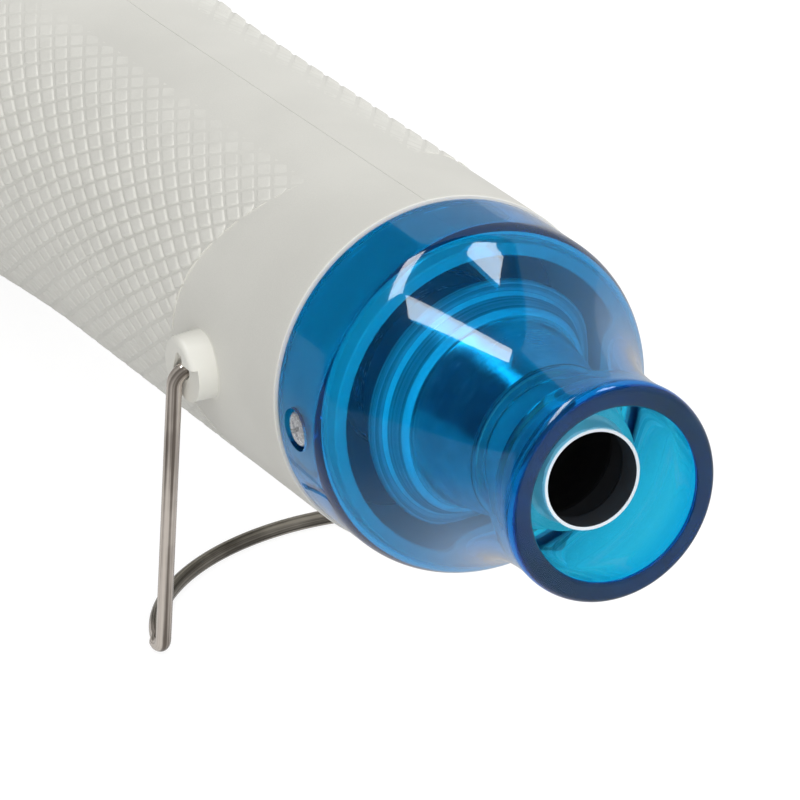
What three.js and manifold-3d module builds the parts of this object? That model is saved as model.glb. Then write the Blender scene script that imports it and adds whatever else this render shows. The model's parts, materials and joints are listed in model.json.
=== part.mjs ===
// Hand-held hot air tool for craft work: a two-part moulded body with a transparent heat shield over its
// steel nozzle, a mica heater, a fan and motor, a rocker switch, and a folding wire stand it rests on.
// Tool frame: X forward along the axis from the body's front face, Y left, Z up. Millimetres.
import * as THREE from "three";
import { mergeVertices } from "three/addons/utils/BufferGeometryUtils.js";
import Module from "manifold-3d";

// Driving dimensions, with angles in degrees
const FIT = 0.3; // gap between pieces that seat on each other

const BODY_RADIUS = 25.9; // moulded body at the front
const BODY_WALL = 2.2;
const BODY_LIP = 3; // thickness of the front end wall
const TAIL_RADIUS = 28; // widest part, behind the grip
const TAIL_ROUND = 7; // rounding of the tail's rim
const TAIL_SPACE = 23; // switch to tail face
const FLARE_START = 85; // front face to where the grip begins to widen
const FLARE_LENGTH = 60;
const RIB_HEIGHT = 2.7;
const RIB_WIDTH = 1.6;

const FLANGE_STEP = 0.4; // body edge standing proud of the shield
const SHIELD_LENGTH = 51;
const SHIELD_WALL = 2;
const SHIELD_NECK = 15.45; // least outer radius
const SHIELD_NECK_AT = 43.4; // front face to the neck
const SHIELD_SWEEP = 50; // radius of the hollow flank
const SHIELD_SHOULDER = 2.6; // length of the rounded shoulder on the flange
const SHIELD_MOUTH = 12.85; // inner radius at the rim
const SHIELD_LIP_ROUND = 1.3;
const SPIGOT_LENGTH = 10.6; // collar of the body inside the shield
const SPIGOT_WALL = 2.2;
const SHIELD_SCREW_AT = 5.4; // front face to the two side screws

const NOZZLE_WALL = 0.5;
const NOZZLE_MOUTH = 7.3; // outer radius of the front tube
const NOZZLE_FRONT = 44.7; // front face to the tube's end
const NOZZLE_TUBE_LENGTH = 4.4;
const NOZZLE_MIDDLE_LENGTH = 6.6;
const NOZZLE_BARREL_LENGTH = 16.7;
const NOZZLE_COLLAR_HEIGHT = 2.4;
const NOZZLE_COLLAR_WIDTH = 1.8;
const NOZZLE_SKIRT_LENGTH = 8;
const COOLING_GAP = 3.1; // air space between the barrel's end and the shield

const HEATER_RADIUS = 13.4; // steel heater tube
const HEATER_WALL = 0.6;
const HEATER_LENGTH = 53;
const HEATER_FRONT = 11; // front face to the tube's front end
const RING_THICKNESS = 3; // insulating rings that hold the heater tube
const RING_FROM_TUBE_END = 3.5;
const MICA_SLEEVE = 0.4;
const MICA_BOARD = 0.9;
const MICA_REACH = 4; // boards standing out behind the tube
const COIL_WIRE = 0.6; // radius of the heating wire
const COIL_PITCH = 3.6;
const COIL_TURNS = 6;
const CUTOUT_RADIUS = 2.6;
const CUTOUT_HEIGHT = 3.2;
const FUSE_RADIUS = 1.5;
const FUSE_LENGTH = 6;
const RIVET_RADIUS = 1.2;
const RIVET_HEAD = 2;

const PLENUM = 15; // heater tube to fan
const FAN_LENGTH = 9;
const FAN_HUB = 6;
const FAN_TIP_GAP = 3.2;
const FAN_BLADES = 7;
const FAN_BLADE = 1.2;
const FAN_PITCH = 38;
const FAN_TO_MOTOR = 8;
const SHAFT_RADIUS = 1.15;
const MOTOR_RADIUS = 13.9;
const MOTOR_LENGTH = 33;
const MOTOR_WALL = 1.2;
const MOTOR_CAP = 3.5;
const MAGNET = 2.8; // thickness of the field magnets
const MAGNET_SPAN = 130; // part of the turn that each one covers
const ROTOR_GAP = 0.6;
const MOTOR_BOSS_RADIUS = 5;
const MOTOR_BOSS = 2.5;
const CRADLE_WIDTH = 8;
const CRADLE_WALL = 1.8;
const BLADE_WIDTH = 2.4; // brass terminal blades
const BLADE_THICKNESS = 0.6;
const BOARD_RADIUS = 11;
const BOARD_THICKNESS = 1.6;
const BOARD_STANDOFF = 2.6;
const DIODE_RADIUS = 1.3;
const DIODE_LENGTH = 5;
const CAPACITOR_RADIUS = 3.4;
const CAPACITOR_LENGTH = 4;
const LEAD_RADIUS = 0.8;
const LEAD_STRAIGHT = 6; // run of a switch lead square off the board
const LEAD_HOOK = 7; // last straight run of a switch lead before its blade
const WIRING_SPACE = 30; // rectifier to switch

const SWITCH_LENGTH = 22; // bezel of the rocker switch
const SWITCH_WIDTH = 15;
const SWITCH_DEPTH = 14;
const SWITCH_RIM = 1.5; // bezel standing out past the case
const BEZEL = 1.6;
const SWITCH_SINK = 1.5; // pad cut below the body's top line
const ROCKER_LENGTH = 14;
const ROCKER_WIDTH = 8.8;
const ROCKER_RISE = 4.2;
const ROCKER_DIP = 2;
const ROCKER_TILT = 11;
const ROCKER_PIN = 1;

const GLAND_BORE = 3.9; // inlet for the mains lead
const GLAND_NECK = 5.6;
const GLAND_FLANGE = 7.6;
const GLAND_LIP = 2;

const SCREW_SHANK = 1.2;
const SCREW_HEAD = 2.5;
const SCREW_HEAD_HEIGHT = 1;
const BOSS_RADIUS = 3.3;
const BOSS_CLEAR = 1.5;

const VENT_LENGTH = 14;
const VENT_WIDTH = 2.6;
const VENT_COUNT = 4; // slots on each side of the tail
const VENT_SPREAD = 26;

const EAR_SETBACK = 23.2; // front face to the stand's pivot
const EAR_RADIUS = 5.3;
const EAR_TIP = 4.85;
const EAR_HEIGHT = 3.8;
const WIRE_RADIUS = 1.15;
const WIRE_BEND = 2.3;
const WIRE_PIN = 5.6; // leg to the end of its turned-in pin
const LEG_PROUD = 0.5; // leg's middle outside the ear's face
const LEG_LENGTH = 51.65;
const LEG_LEAN = 16.7; // to the rear of square with the axis
const FOOT_SAG = 20.9; // depth of the foot's bow behind the legs
const FOOT_ENTRY = 5.5; // turn already made where the bow leaves a leg
const FOOT_PITCH = 8; // foot below square with the legs, so that it lies flat
const FOLD = 105; // swing of the stand from its stop to under the shield

const BODY_SIDES = 32;
const PIPE_SIDES = 24;
const ROUND_STEPS = 4;

// Sizes that follow from these
const degrees = Math.PI / 180;
const bodyInner = BODY_RADIUS - BODY_WALL;
const flangeRadius = BODY_RADIUS - FLANGE_STEP;
const flangeInner = flangeRadius - SHIELD_WALL;
const spigotOuter = flangeInner - FIT;
const spigotInner = spigotOuter - SPIGOT_WALL;
const heaterRear = HEATER_FRONT - HEATER_LENGTH;
const fanFront = heaterRear - PLENUM;
const fanRear = fanFront - FAN_LENGTH;
const motorFront = fanRear - FAN_TO_MOTOR;
const motorRear = motorFront - MOTOR_LENGTH;
const capRear = motorRear - FIT - MOTOR_CAP;
const boardFront = capRear - BOARD_STANDOFF;
const boardRear = boardFront - BOARD_THICKNESS;
const wiringFront = boardRear - FIT - CAPACITOR_LENGTH;
const switchFront = wiringFront - WIRING_SPACE;
const switchMiddle = switchFront - SWITCH_LENGTH / 2;
const bodyLength = TAIL_SPACE + SWITCH_LENGTH - switchFront;
const earFace = BODY_RADIUS + EAR_HEIGHT;
const legSide = earFace + LEG_PROUD;
const everywhere = bodyLength + SHIELD_LENGTH; // larger than any piece, for cutting planes

const wasm = await Module();
wasm.setup();

// Closed solid of a geometry, faces outwards
function solid(geometry) {
  const bare = geometry.clone();
  bare.deleteAttribute("normal");
  bare.deleteAttribute("uv");
  const merged = mergeVertices(bare, 1e-4);
  const index = merged.index.array;
  const corners = [];
  for (let i = 0; i < index.length; i += 3) {
    const [a, b, c] = [index[i], index[i + 1], index[i + 2]];
    if (a !== b && b !== c && c !== a) corners.push(a, b, c);
  }
  const build = (list) =>
    new wasm.Manifold(
      new wasm.Mesh({
        numProp: 3,
        vertProperties: Float32Array.from(merged.attributes.position.array),
        triVerts: Uint32Array.from(list),
      }),
    );
  const made = build(corners);
  return made.volume() > 0 ? made : build(corners.reverse());
}

const join = (first, ...others) => others.reduce((a, b) => a.add(b), first);
const cut = (first, ...others) => others.reduce((a, b) => a.subtract(b), first);

// Geometry of a solid, for a mesh
function surface(made) {
  const { numProp, numVert, vertProperties, triVerts } = made.getMesh();
  const place = new Float32Array(numVert * 3);
  for (let i = 0; i < numVert; i++) {
    place.set(vertProperties.subarray(i * numProp, i * numProp + 3), i * 3);
  }
  const geometry = new THREE.BufferGeometry();
  geometry.setAttribute("position", new THREE.BufferAttribute(place, 3));
  geometry.setIndex(new THREE.BufferAttribute(Uint32Array.from(triVerts), 1));
  geometry.computeVertexNormals();
  return geometry;
}

// Revolve about the tool's axis of a profile given as (distance along the axis, radius)
function turned(profile, sides) {
  const points = profile.map((p) => new THREE.Vector2(p.y, p.x));
  const open = points[0].x > 0 || points[points.length - 1].x > 0;
  if (open) points.push(points[0].clone());
  return new THREE.LatheGeometry(points, sides).rotateZ(-Math.PI / 2);
}

const at = (along, radius) => new THREE.Vector2(along, radius);

// Tube or disc about the tool's axis
function ring(rear, front, inner, outer, sides) {
  return turned([at(rear, inner), at(rear, outer), at(front, outer), at(front, inner)], sides);
}

function block(x, y, z) {
  const size = [x, y, z].map(([low, high]) => high - low);
  const middle = [x, y, z].map(([low, high]) => (low + high) / 2);
  return new THREE.BoxGeometry(...size).translate(...middle);
}

// Round bar across the tool from one y to another
function crossbar(x, z, from, to, radius, endRadius = radius, sides = 12) {
  const up = to > from;
  const bar = new THREE.CylinderGeometry(
    up ? endRadius : radius,
    up ? radius : endRadius,
    Math.abs(to - from),
    sides,
  );
  return bar.translate(x, (from + to) / 2, z);
}

// Outline drawn in the upright plane of the tool, made thick from one y to another
function upright(shape, from, to) {
  const slab = new THREE.ExtrudeGeometry(shape, {
    depth: to - from,
    bevelEnabled: false,
    curveSegments: ROUND_STEPS,
  });
  return slab.rotateX(Math.PI / 2).translate(0, to, 0);
}

// Curve through given points whose sections stay at those points
class BentWire extends THREE.Curve {
  constructor(points) {
    super();
    this.points = points;
  }
  getPoint(t) {
    const last = this.points.length - 1;
    const i = Math.min(Math.floor(t * last), last - 1);
    return this.points[i].clone().lerp(this.points[i + 1], t * last - i);
  }
  getPointAt(t) {
    return this.getPoint(t);
  }
  getTangentAt(t) {
    const last = this.points.length - 1;
    const i = Math.round(t * last);
    const before = this.points[Math.max(i - 1, 0)];
    const after = this.points[Math.min(i + 1, last)];
    return after.clone().sub(before).normalize();
  }
  getSpacedPoints() {
    return this.points.map((p) => p.clone());
  }
}

function tube(curve, radius, steps, sides) {
  const section = new THREE.Shape();
  for (let i = 0; i < sides; i++) {
    const turn = (2 * Math.PI * i) / sides;
    const place = [radius * Math.cos(turn), radius * Math.sin(turn)];
    if (i === 0) section.moveTo(...place);
    else section.lineTo(...place);
  }
  return new THREE.ExtrudeGeometry(section, { steps, extrudePath: curve, bevelEnabled: false });
}

const finish = (color, roughness, metalness) =>
  new THREE.MeshStandardMaterial({ color, roughness, metalness });
const whitePlastic = finish(0xd9d8d1, 0.55, 0);
const blueClear = new THREE.MeshStandardMaterial({
  color: 0x0f6fae,
  roughness: 0.08,
  metalness: 0,
  transparent: true,
  opacity: 0.55,
});
const brightSteel = finish(0xc6c8cc, 0.25, 1);
const springSteel = finish(0x9b938a, 0.3, 1);
const mica = finish(0xb9a67c, 0.5, 0);
const blackPhenolic = finish(0x1d1c1b, 0.6, 0);
const heatWire = finish(0x6d6560, 0.5, 1);
const brass = finish(0xb89a4e, 0.35, 1);
const canSteel = finish(0x8f9296, 0.35, 1);
const copper = finish(0xa5602f, 0.35, 1);
const ferrite = finish(0x3a3a3d, 0.7, 0);
const blackPlastic = finish(0x141414, 0.45, 0);
const redPlastic = finish(0x9c1d18, 0.4, 0);
const greenBoard = finish(0x2f5a34, 0.6, 0);
const leadCover = finish(0xd2cfc6, 0.6, 0);

const root = new THREE.Group();
const tool = new THREE.Group();
root.add(tool);

function piece(name, made, material, parent = tool) {
  const shape = made.isBufferGeometry ? surface(solid(made)) : surface(made);
  const mesh = new THREE.Mesh(shape, material);
  mesh.name = name;
  parent.add(mesh);
  return mesh;
}

// Outer radius of the body at a place along the axis
function bodyRadiusAt(along) {
  const share = THREE.MathUtils.clamp((-along - FLARE_START) / FLARE_LENGTH, 0, 1);
  return BODY_RADIUS + (TAIL_RADIUS - BODY_RADIUS) * THREE.MathUtils.smoothstep(share, 0, 1);
}

// Body outline from the axis at the front to the axis at the tail, drawn in by an inset
function bodyOutline(front, inset) {
  const tail = -bodyLength + inset;
  const turn = -bodyLength + TAIL_ROUND;
  const points = [at(front, 0), at(front, BODY_RADIUS - inset)];
  for (let i = 0; i <= ROUND_STEPS; i++) {
    const along = -FLARE_START - (FLARE_LENGTH * i) / ROUND_STEPS;
    if (along > turn) points.push(at(along, bodyRadiusAt(along) - inset));
  }
  const round = TAIL_ROUND - inset;
  const middle = TAIL_RADIUS - TAIL_ROUND;
  for (let i = 0; i <= ROUND_STEPS; i++) {
    const angle = ((Math.PI / 2) * i) / ROUND_STEPS;
    points.push(at(turn - round * Math.sin(angle), middle + round * Math.cos(angle)));
  }
  points.push(at(tail, 0));
  return points;
}

// Places of the rings and the cradle, which ribs on the body hold from both sides
const frontRing = -BODY_LIP - FIT - RING_THICKNESS;
const rearRing = heaterRear + RING_FROM_TUBE_END;
const cradleRear = (motorFront + motorRear) / 2 - CRADLE_WIDTH / 2;
const seats = [
  [frontRing, frontRing + RING_THICKNESS],
  [rearRing, rearRing + RING_THICKNESS],
  [cradleRear, cradleRear + CRADLE_WIDTH],
];

// Leads to the heater lie along the top of the bore, clear of the fan
const leadOrbit = bodyInner - LEAD_RADIUS - 0.5;
const leadSpread = 11.5 * degrees;
const leadSide = leadOrbit * Math.sin(leadSpread);
const leadTop = leadOrbit * Math.cos(leadSpread);
const leadRoom = [leadSide + 2 * LEAD_RADIUS, leadTop - 2 * LEAD_RADIUS];
const leadChannel = block(
  [motorRear - CRADLE_WIDTH, motorFront + CRADLE_WIDTH],
  [-leadRoom[0], leadRoom[0]],
  [leadRoom[1], BODY_RADIUS + TAIL_RADIUS],
);

// Screws that close the body: all enter from the left half
const bossHeight = (along) => bodyRadiusAt(along) - BODY_WALL - BOSS_RADIUS - BOSS_CLEAR;
const bossBehindFan = fanFront + BOSS_RADIUS + BOSS_CLEAR;
const bossMiddle = (wiringFront + switchFront) / 2;
const bosses = [
  at(bossBehindFan, -bossHeight(bossBehindFan)),
  at(bossMiddle, bossHeight(bossMiddle)),
  at(bossMiddle, -bossHeight(bossMiddle)),
  at(switchMiddle, -bossHeight(switchMiddle)),
];
const headSink = 3;
const headSeat = ({ x, y }) => Math.sqrt(bodyRadiusAt(x) ** 2 - y ** 2) - headSink;
const housingScrewLength = 16;

// Rocker switch places
const switchRadius = bodyRadiusAt(switchFront);
const padTop = switchRadius - SWITCH_SINK;
const caseLength = SWITCH_LENGTH - 2 * SWITCH_RIM;
const caseWidth = SWITCH_WIDTH - 2 * SWITCH_RIM;
const wellWall = 2.4;
const wellDepth = 5;
const across = (width) => [-width / 2, width / 2];
const span = (middle, length) => [middle - length / 2, middle + length / 2];

// Wire path of the stand about its pivot, legs down, foot bowed to the rear
function standPoints() {
  const half = [new THREE.Vector3(0, legSide - WIRE_PIN, 0)];
  for (let i = 0; i <= ROUND_STEPS; i++) {
    const turn = ((Math.PI / 2) * i) / ROUND_STEPS;
    const side = legSide - WIRE_BEND + WIRE_BEND * Math.sin(turn);
    half.push(new THREE.Vector3(0, side, -WIRE_BEND + WIRE_BEND * Math.cos(turn)));
  }
  const pitch = FOOT_PITCH * degrees;
  const cornerTurn = Math.PI / 2 - pitch;
  const cornerRun = WIRE_BEND * Math.tan(cornerTurn / 2);
  for (let i = 0; i <= ROUND_STEPS; i++) {
    const turn = (cornerTurn * i) / ROUND_STEPS;
    const rise = cornerRun - WIRE_BEND * Math.sin(turn);
    half.push(new THREE.Vector3(WIRE_BEND * (Math.cos(turn) - 1), legSide, rise - LEG_LENGTH));
  }
  const entry = Math.sin(FOOT_ENTRY * degrees);
  const bowHalf = legSide / Math.cos(FOOT_ENTRY * degrees);
  const bowDepth = FOOT_SAG / (1 - entry);
  const bowStart = Math.asin(cornerRun / bowDepth + entry);
  const bowSteps = 9;
  for (let i = 1; i < bowSteps; i++) {
    const turn = bowStart + ((Math.PI / 2 - bowStart) * i) / bowSteps;
    const back = bowDepth * (Math.sin(turn) - entry);
    const drop = back * Math.sin(pitch) + LEG_LENGTH;
    half.push(new THREE.Vector3(-back * Math.cos(pitch), bowHalf * Math.cos(turn), -drop));
  }
  const drop = FOOT_SAG * Math.sin(pitch) + LEG_LENGTH;
  const middle = new THREE.Vector3(-FOOT_SAG * Math.cos(pitch), 0, -drop);
  const mirrored = half.map((p) => new THREE.Vector3(p.x, -p.y, p.z)).reverse();
  return [...half, middle, ...mirrored];
}

// Pocket in an ear's face that the leg swings in, from its rear stop to folded forward
function swingPocket() {
  const room = WIRE_RADIUS + FIT;
  const rest = (270 - LEG_LEAN) * degrees;
  const folded = rest + FOLD * degrees;
  const reach = 3 * EAR_RADIUS;
  const shape = new THREE.Shape();
  const corner = (turn, side, distance) => [
    distance * Math.cos(turn) + room * Math.cos(side),
    distance * Math.sin(turn) + room * Math.sin(side),
  ];
  const behind = rest - Math.PI / 2;
  const above = folded + Math.PI / 2;
  shape.moveTo(...corner(rest, behind, 0));
  shape.lineTo(...corner(rest, behind, reach));
  for (let i = 0; i <= ROUND_STEPS; i++) {
    const turn = rest + ((folded - rest) * i) / ROUND_STEPS;
    shape.lineTo(reach * Math.cos(turn), reach * Math.sin(turn));
  }
  shape.lineTo(...corner(folded, above, reach));
  shape.lineTo(...corner(folded, above, 0));
  shape.absarc(0, 0, room, above, behind + 2 * Math.PI, false);
  return shape;
}

// Stadium slot, long side along the axis, cut radially
function ventSlot(angle) {
  const run = (VENT_LENGTH - VENT_WIDTH) / 2;
  const shape = new THREE.Shape();
  shape.absarc(run, 0, VENT_WIDTH / 2, -Math.PI / 2, Math.PI / 2, false);
  shape.absarc(-run, 0, VENT_WIDTH / 2, Math.PI / 2, 1.5 * Math.PI, false);
  const slot = new THREE.ExtrudeGeometry(shape, {
    depth: TAIL_RADIUS,
    bevelEnabled: false,
    curveSegments: ROUND_STEPS,
  });
  const middle = -bodyLength + TAIL_ROUND + VENT_LENGTH / 2;
  return slot
    .translate(0, 0, TAIL_RADIUS - 2 * BODY_WALL)
    .rotateX(angle - Math.PI / 2)
    .translate(middle, 0, 0);
}

// Both halves of the body in one, before they are parted
function bodyShell() {
  const outer = solid(turned(bodyOutline(0, 0), BODY_SIDES));
  const spigot = solid(ring(-BODY_LIP, SPIGOT_LENGTH, 0, spigotOuter, BODY_SIDES));
  const ears = [-1, 1].map((side) => {
    const root = side * (BODY_RADIUS - 2 * BODY_WALL);
    return solid(crossbar(-EAR_SETBACK, 0, root, side * earFace, EAR_RADIUS, EAR_TIP, 28));
  });
  const cavity = solid(turned(bodyOutline(-BODY_LIP, BODY_WALL), BODY_SIDES));
  const bore = solid(ring(-2 * BODY_LIP, everywhere, 0, spigotInner, BODY_SIDES));
  let shell = cut(join(outer, spigot, ...ears), cavity, bore);

  const channel = solid(leadChannel);
  for (const [rear, front] of seats) {
    const between = [[rear - FIT - RIB_WIDTH, rear - FIT]];
    if (front < frontRing) between.push([front + FIT, front + FIT + RIB_WIDTH]);
    for (const [low, high] of between) {
      const rib = solid(ring(low, high, bodyInner - RIB_HEIGHT, BODY_RADIUS - BODY_WALL / 2, BODY_SIDES));
      shell = join(shell, cut(rib, channel).intersect(outer));
    }
  }
  for (const boss of bosses) {
    const post = solid(crossbar(boss.x, boss.y, -everywhere, everywhere, BOSS_RADIUS));
    shell = join(shell, post.intersect(outer));
  }
  for (const side of [-1, 1]) {
    const root = side * (spigotInner - BODY_WALL);
    const boss = solid(crossbar(SHIELD_SCREW_AT, 0, root, side * spigotOuter, BOSS_RADIUS));
    shell = join(shell, boss.intersect(spigot));
  }
  const well = block(
    span(switchMiddle, caseLength + 2 * (FIT + wellWall)),
    across(caseWidth + 2 * (FIT + wellWall)),
    [padTop - wellDepth, TAIL_RADIUS],
  );
  shell = join(shell, solid(well).intersect(outer));
  const inlet = ring(-bodyLength, -bodyLength + GLAND_LIP + FIT + BODY_WALL, 0, GLAND_FLANGE + BODY_WALL, PIPE_SIDES);
  shell = join(shell, solid(inlet));

  const pad = block(
    span(switchMiddle, SWITCH_LENGTH + 2 * FIT),
    across(SWITCH_WIDTH + 2 * FIT),
    [padTop, everywhere],
  );
  const opening = block(span(switchMiddle, caseLength + 2 * FIT), across(caseWidth + 2 * FIT), [0, everywhere]);
  const inletRecess = ring(-everywhere, -bodyLength + GLAND_LIP + FIT, 0, GLAND_FLANGE + FIT, PIPE_SIDES);
  const inletHole = ring(-everywhere, -bodyLength + TAIL_SPACE / 2, 0, GLAND_NECK + FIT, PIPE_SIDES);
  shell = cut(shell, solid(pad), solid(opening), solid(inletRecess), solid(inletHole));

  const pocketFloor = legSide - WIRE_RADIUS - FIT;
  const pinEnd = legSide - WIRE_PIN - FIT;
  for (const side of [-1, 1]) {
    const reach = [side * pocketFloor, side * everywhere].sort((a, b) => a - b);
    const pocket = upright(swingPocket(), ...reach).translate(-EAR_SETBACK, 0, 0);
    const hole = crossbar(-EAR_SETBACK, 0, side * pinEnd, side * earFace, WIRE_RADIUS + FIT);
    const flare = crossbar(
      -EAR_SETBACK,
      0,
      side * (pocketFloor - WIRE_BEND),
      side * (pocketFloor + FIT),
      WIRE_RADIUS + FIT,
      WIRE_BEND + FIT,
    );
    const pilot = crossbar(SHIELD_SCREW_AT, 0, 0, side * everywhere, SCREW_SHANK + FIT);
    shell = cut(shell, solid(pocket), solid(hole), solid(flare), solid(pilot));
    for (let i = 0; i < VENT_COUNT; i++) {
      const turn = (i - (VENT_COUNT - 1) / 2) * VENT_SPREAD * degrees;
      shell = cut(shell, solid(ventSlot(side > 0 ? turn : Math.PI - turn)));
    }
  }
  for (const boss of bosses) {
    const seat = headSeat(boss);
    const tip = seat - housingScrewLength - FIT;
    const shaft = crossbar(boss.x, boss.y, tip, everywhere, SCREW_SHANK + FIT);
    const sink = crossbar(boss.x, boss.y, seat, everywhere, SCREW_HEAD + FIT);
    shell = cut(shell, solid(shaft), solid(sink));
  }
  return shell;
}

const shell = bodyShell();
const leftSide = block([-everywhere, everywhere], [FIT / 2, everywhere], [-everywhere, everywhere]);
const rightSide = block([-everywhere, everywhere], [-everywhere, -FIT / 2], [-everywhere, everywhere]);
piece("housing_left", shell.intersect(solid(leftSide)), whitePlastic);
piece("housing_right", shell.intersect(solid(rightSide)), whitePlastic);

// Transparent shield: a plain flange, a rounded shoulder and a hollow flank that narrows to the neck
const sweepCentre = SHIELD_NECK + SHIELD_SWEEP;
const flank = (along, inset) =>
  sweepCentre - Math.sqrt((SHIELD_SWEEP + inset) ** 2 - (SHIELD_NECK_AT - along) ** 2);
const flankStart = (radius, inset) =>
  SHIELD_NECK_AT - Math.sqrt((SHIELD_SWEEP + inset) ** 2 - (sweepCentre - radius) ** 2);

function shieldProfile() {
  const flankSteps = 6;
  const edge = flankStart(flangeRadius, 0);
  const innerEdge = flankStart(flangeInner, SHIELD_WALL);
  const rimStart = SHIELD_LENGTH - SHIELD_LIP_ROUND;
  const path = new THREE.Path();
  path.moveTo(FIT, flangeInner);
  path.lineTo(FIT, flangeRadius);
  path.lineTo(edge - SHIELD_SHOULDER, flangeRadius);
  const below = edge + SHIELD_SHOULDER;
  path.quadraticCurveTo(edge, flangeRadius, below, flank(below, 0));
  for (let i = 1; i <= flankSteps; i++) {
    const along = below + ((rimStart - below) * i) / flankSteps;
    path.lineTo(along, flank(along, 0));
  }
  const rim = flank(rimStart, 0) - SHIELD_LIP_ROUND;
  path.absarc(rimStart, rim, SHIELD_LIP_ROUND, Math.PI / 2, 0, true);
  path.lineTo(SHIELD_LENGTH, SHIELD_MOUTH);
  for (let i = 0; i <= flankSteps; i++) {
    const along = SHIELD_NECK_AT + ((innerEdge - SHIELD_NECK_AT) * i) / flankSteps;
    path.lineTo(along, flank(along, SHIELD_WALL));
  }
  return path.getPoints(ROUND_STEPS);
}

const screwFloor = flangeInner + SHIELD_WALL * 0.3;
function shieldSolid() {
  let made = solid(turned(shieldProfile(), BODY_SIDES));
  for (const side of [-1, 1]) {
    const shaft = crossbar(SHIELD_SCREW_AT, 0, 0, side * everywhere, SCREW_SHANK + FIT);
    const sink = crossbar(SHIELD_SCREW_AT, 0, side * screwFloor, side * everywhere, SCREW_HEAD + 2 * FIT);
    made = cut(made, solid(shaft), solid(sink));
  }
  return made;
}
piece("nozzle_shield", shieldSolid(), blueClear);

// Pan-head screw, tip towards -Y, head's seat at the origin
function screw(length) {
  const crown = SCREW_HEAD_HEIGHT * 0.6;
  const profile = [
    new THREE.Vector2(0, -length),
    new THREE.Vector2(SCREW_SHANK * 0.5, -length),
    new THREE.Vector2(SCREW_SHANK, -length + SCREW_SHANK),
    new THREE.Vector2(SCREW_SHANK, 0),
    new THREE.Vector2(SCREW_HEAD, 0),
    new THREE.Vector2(SCREW_HEAD, crown),
    new THREE.Vector2(SCREW_HEAD * 0.8, SCREW_HEAD_HEIGHT),
    new THREE.Vector2(0, SCREW_HEAD_HEIGHT),
  ];
  return new THREE.LatheGeometry(profile, 12);
}

const shieldScrewLength = screwFloor - spigotInner + BODY_WALL / 2;
for (const [name, side] of [["left", 1], ["right", -1]]) {
  const mesh = piece("shield_screw_" + name, screw(shieldScrewLength), brightSteel);
  mesh.position.set(SHIELD_SCREW_AT, side * (screwFloor + FIT), 0);
  if (side < 0) mesh.rotation.x = Math.PI;
}
bosses.forEach((boss, i) => {
  const mesh = piece("housing_screw_" + (i + 1), screw(housingScrewLength), brightSteel);
  mesh.position.set(boss.x, headSeat(boss) + FIT, boss.y);
});

// Steel nozzle: a skirt over the heater tube, a collar, a tapered barrel and two steps down to the mouth
const skirt = HEATER_RADIUS + FIT + NOZZLE_WALL;
function nozzleProfile() {
  const middleEnd = NOZZLE_FRONT - NOZZLE_TUBE_LENGTH;
  const barrelEnd = middleEnd - NOZZLE_MIDDLE_LENGTH;
  const barrelStart = barrelEnd - NOZZLE_BARREL_LENGTH;
  const barrelRadius = flank(barrelEnd, SHIELD_WALL) - COOLING_GAP;
  const middleRadius = (barrelRadius + NOZZLE_MOUTH) / 2;
  const collarEnd = barrelStart - NOZZLE_COLLAR_WIDTH;
  const collarStart = collarEnd - NOZZLE_COLLAR_WIDTH;
  const skirtEnd = collarStart - NOZZLE_SKIRT_LENGTH;
  const ease = NOZZLE_WALL / 2;
  const collar = skirt + NOZZLE_COLLAR_HEIGHT;
  const front = [
    at(barrelStart - ease, skirt),
    at(barrelStart + ease, skirt - 2 * ease),
    at(barrelEnd - ease, barrelRadius),
    at(barrelEnd, barrelRadius - ease),
    at(barrelEnd, middleRadius),
    at(middleEnd - ease, middleRadius),
    at(middleEnd, middleRadius - ease),
    at(middleEnd, NOZZLE_MOUTH),
  ];
  const outside = [
    at(skirtEnd, skirt),
    at(collarStart, skirt),
    at(collarStart, collar - ease),
    at(collarStart + ease, collar),
    at(collarEnd - ease, collar),
    at(collarEnd, collar - ease),
    at(collarEnd, skirt),
    ...front,
    at(NOZZLE_FRONT, NOZZLE_MOUTH),
  ];
  const inside = front.map((p) => at(p.x - NOZZLE_WALL, p.y - NOZZLE_WALL)).reverse();
  return [
    ...outside,
    at(NOZZLE_FRONT, NOZZLE_MOUTH - NOZZLE_WALL),
    ...inside,
    at(skirtEnd, skirt - NOZZLE_WALL),
  ];
}
piece("hot_air_nozzle", turned(nozzleProfile(), PIPE_SIDES), brightSteel);

// Heater: steel tube with a mica sleeve, carried by two insulating rings
const tubeBore = HEATER_RADIUS - HEATER_WALL;
const sleeveOuter = tubeBore - FIT;
const sleeveInner = sleeveOuter - MICA_SLEEVE;
piece("heater_tube", ring(heaterRear, HEATER_FRONT, tubeBore, HEATER_RADIUS, PIPE_SIDES), brightSteel);
piece(
  "mica_sleeve",
  ring(heaterRear, HEATER_FRONT - 2 * FIT, sleeveInner, sleeveOuter, PIPE_SIDES),
  mica,
);
const ringShape = (rear) =>
  ring(rear, rear + RING_THICKNESS, HEATER_RADIUS + FIT, bodyInner - FIT, BODY_SIDES);
piece("heater_ring_front", ringShape(frontRing), blackPhenolic);
piece("heater_ring_rear", ringShape(rearRing), blackPhenolic);

// Two mica boards cross in half slots, and notches in their edges hold the heating wire
const boardHalf = sleeveInner - FIT - 0.1;
const boardSpan = [heaterRear - MICA_REACH, HEATER_FRONT - 2 * MICA_REACH];
const boardMiddle = (boardSpan[0] + boardSpan[1]) / 2;
const coilOrbit = boardHalf - 2 * COIL_WIRE;
const coilStart = boardMiddle - (COIL_TURNS * COIL_PITCH) / 2;
const slotHalf = MICA_BOARD / 2 + FIT;

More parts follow.
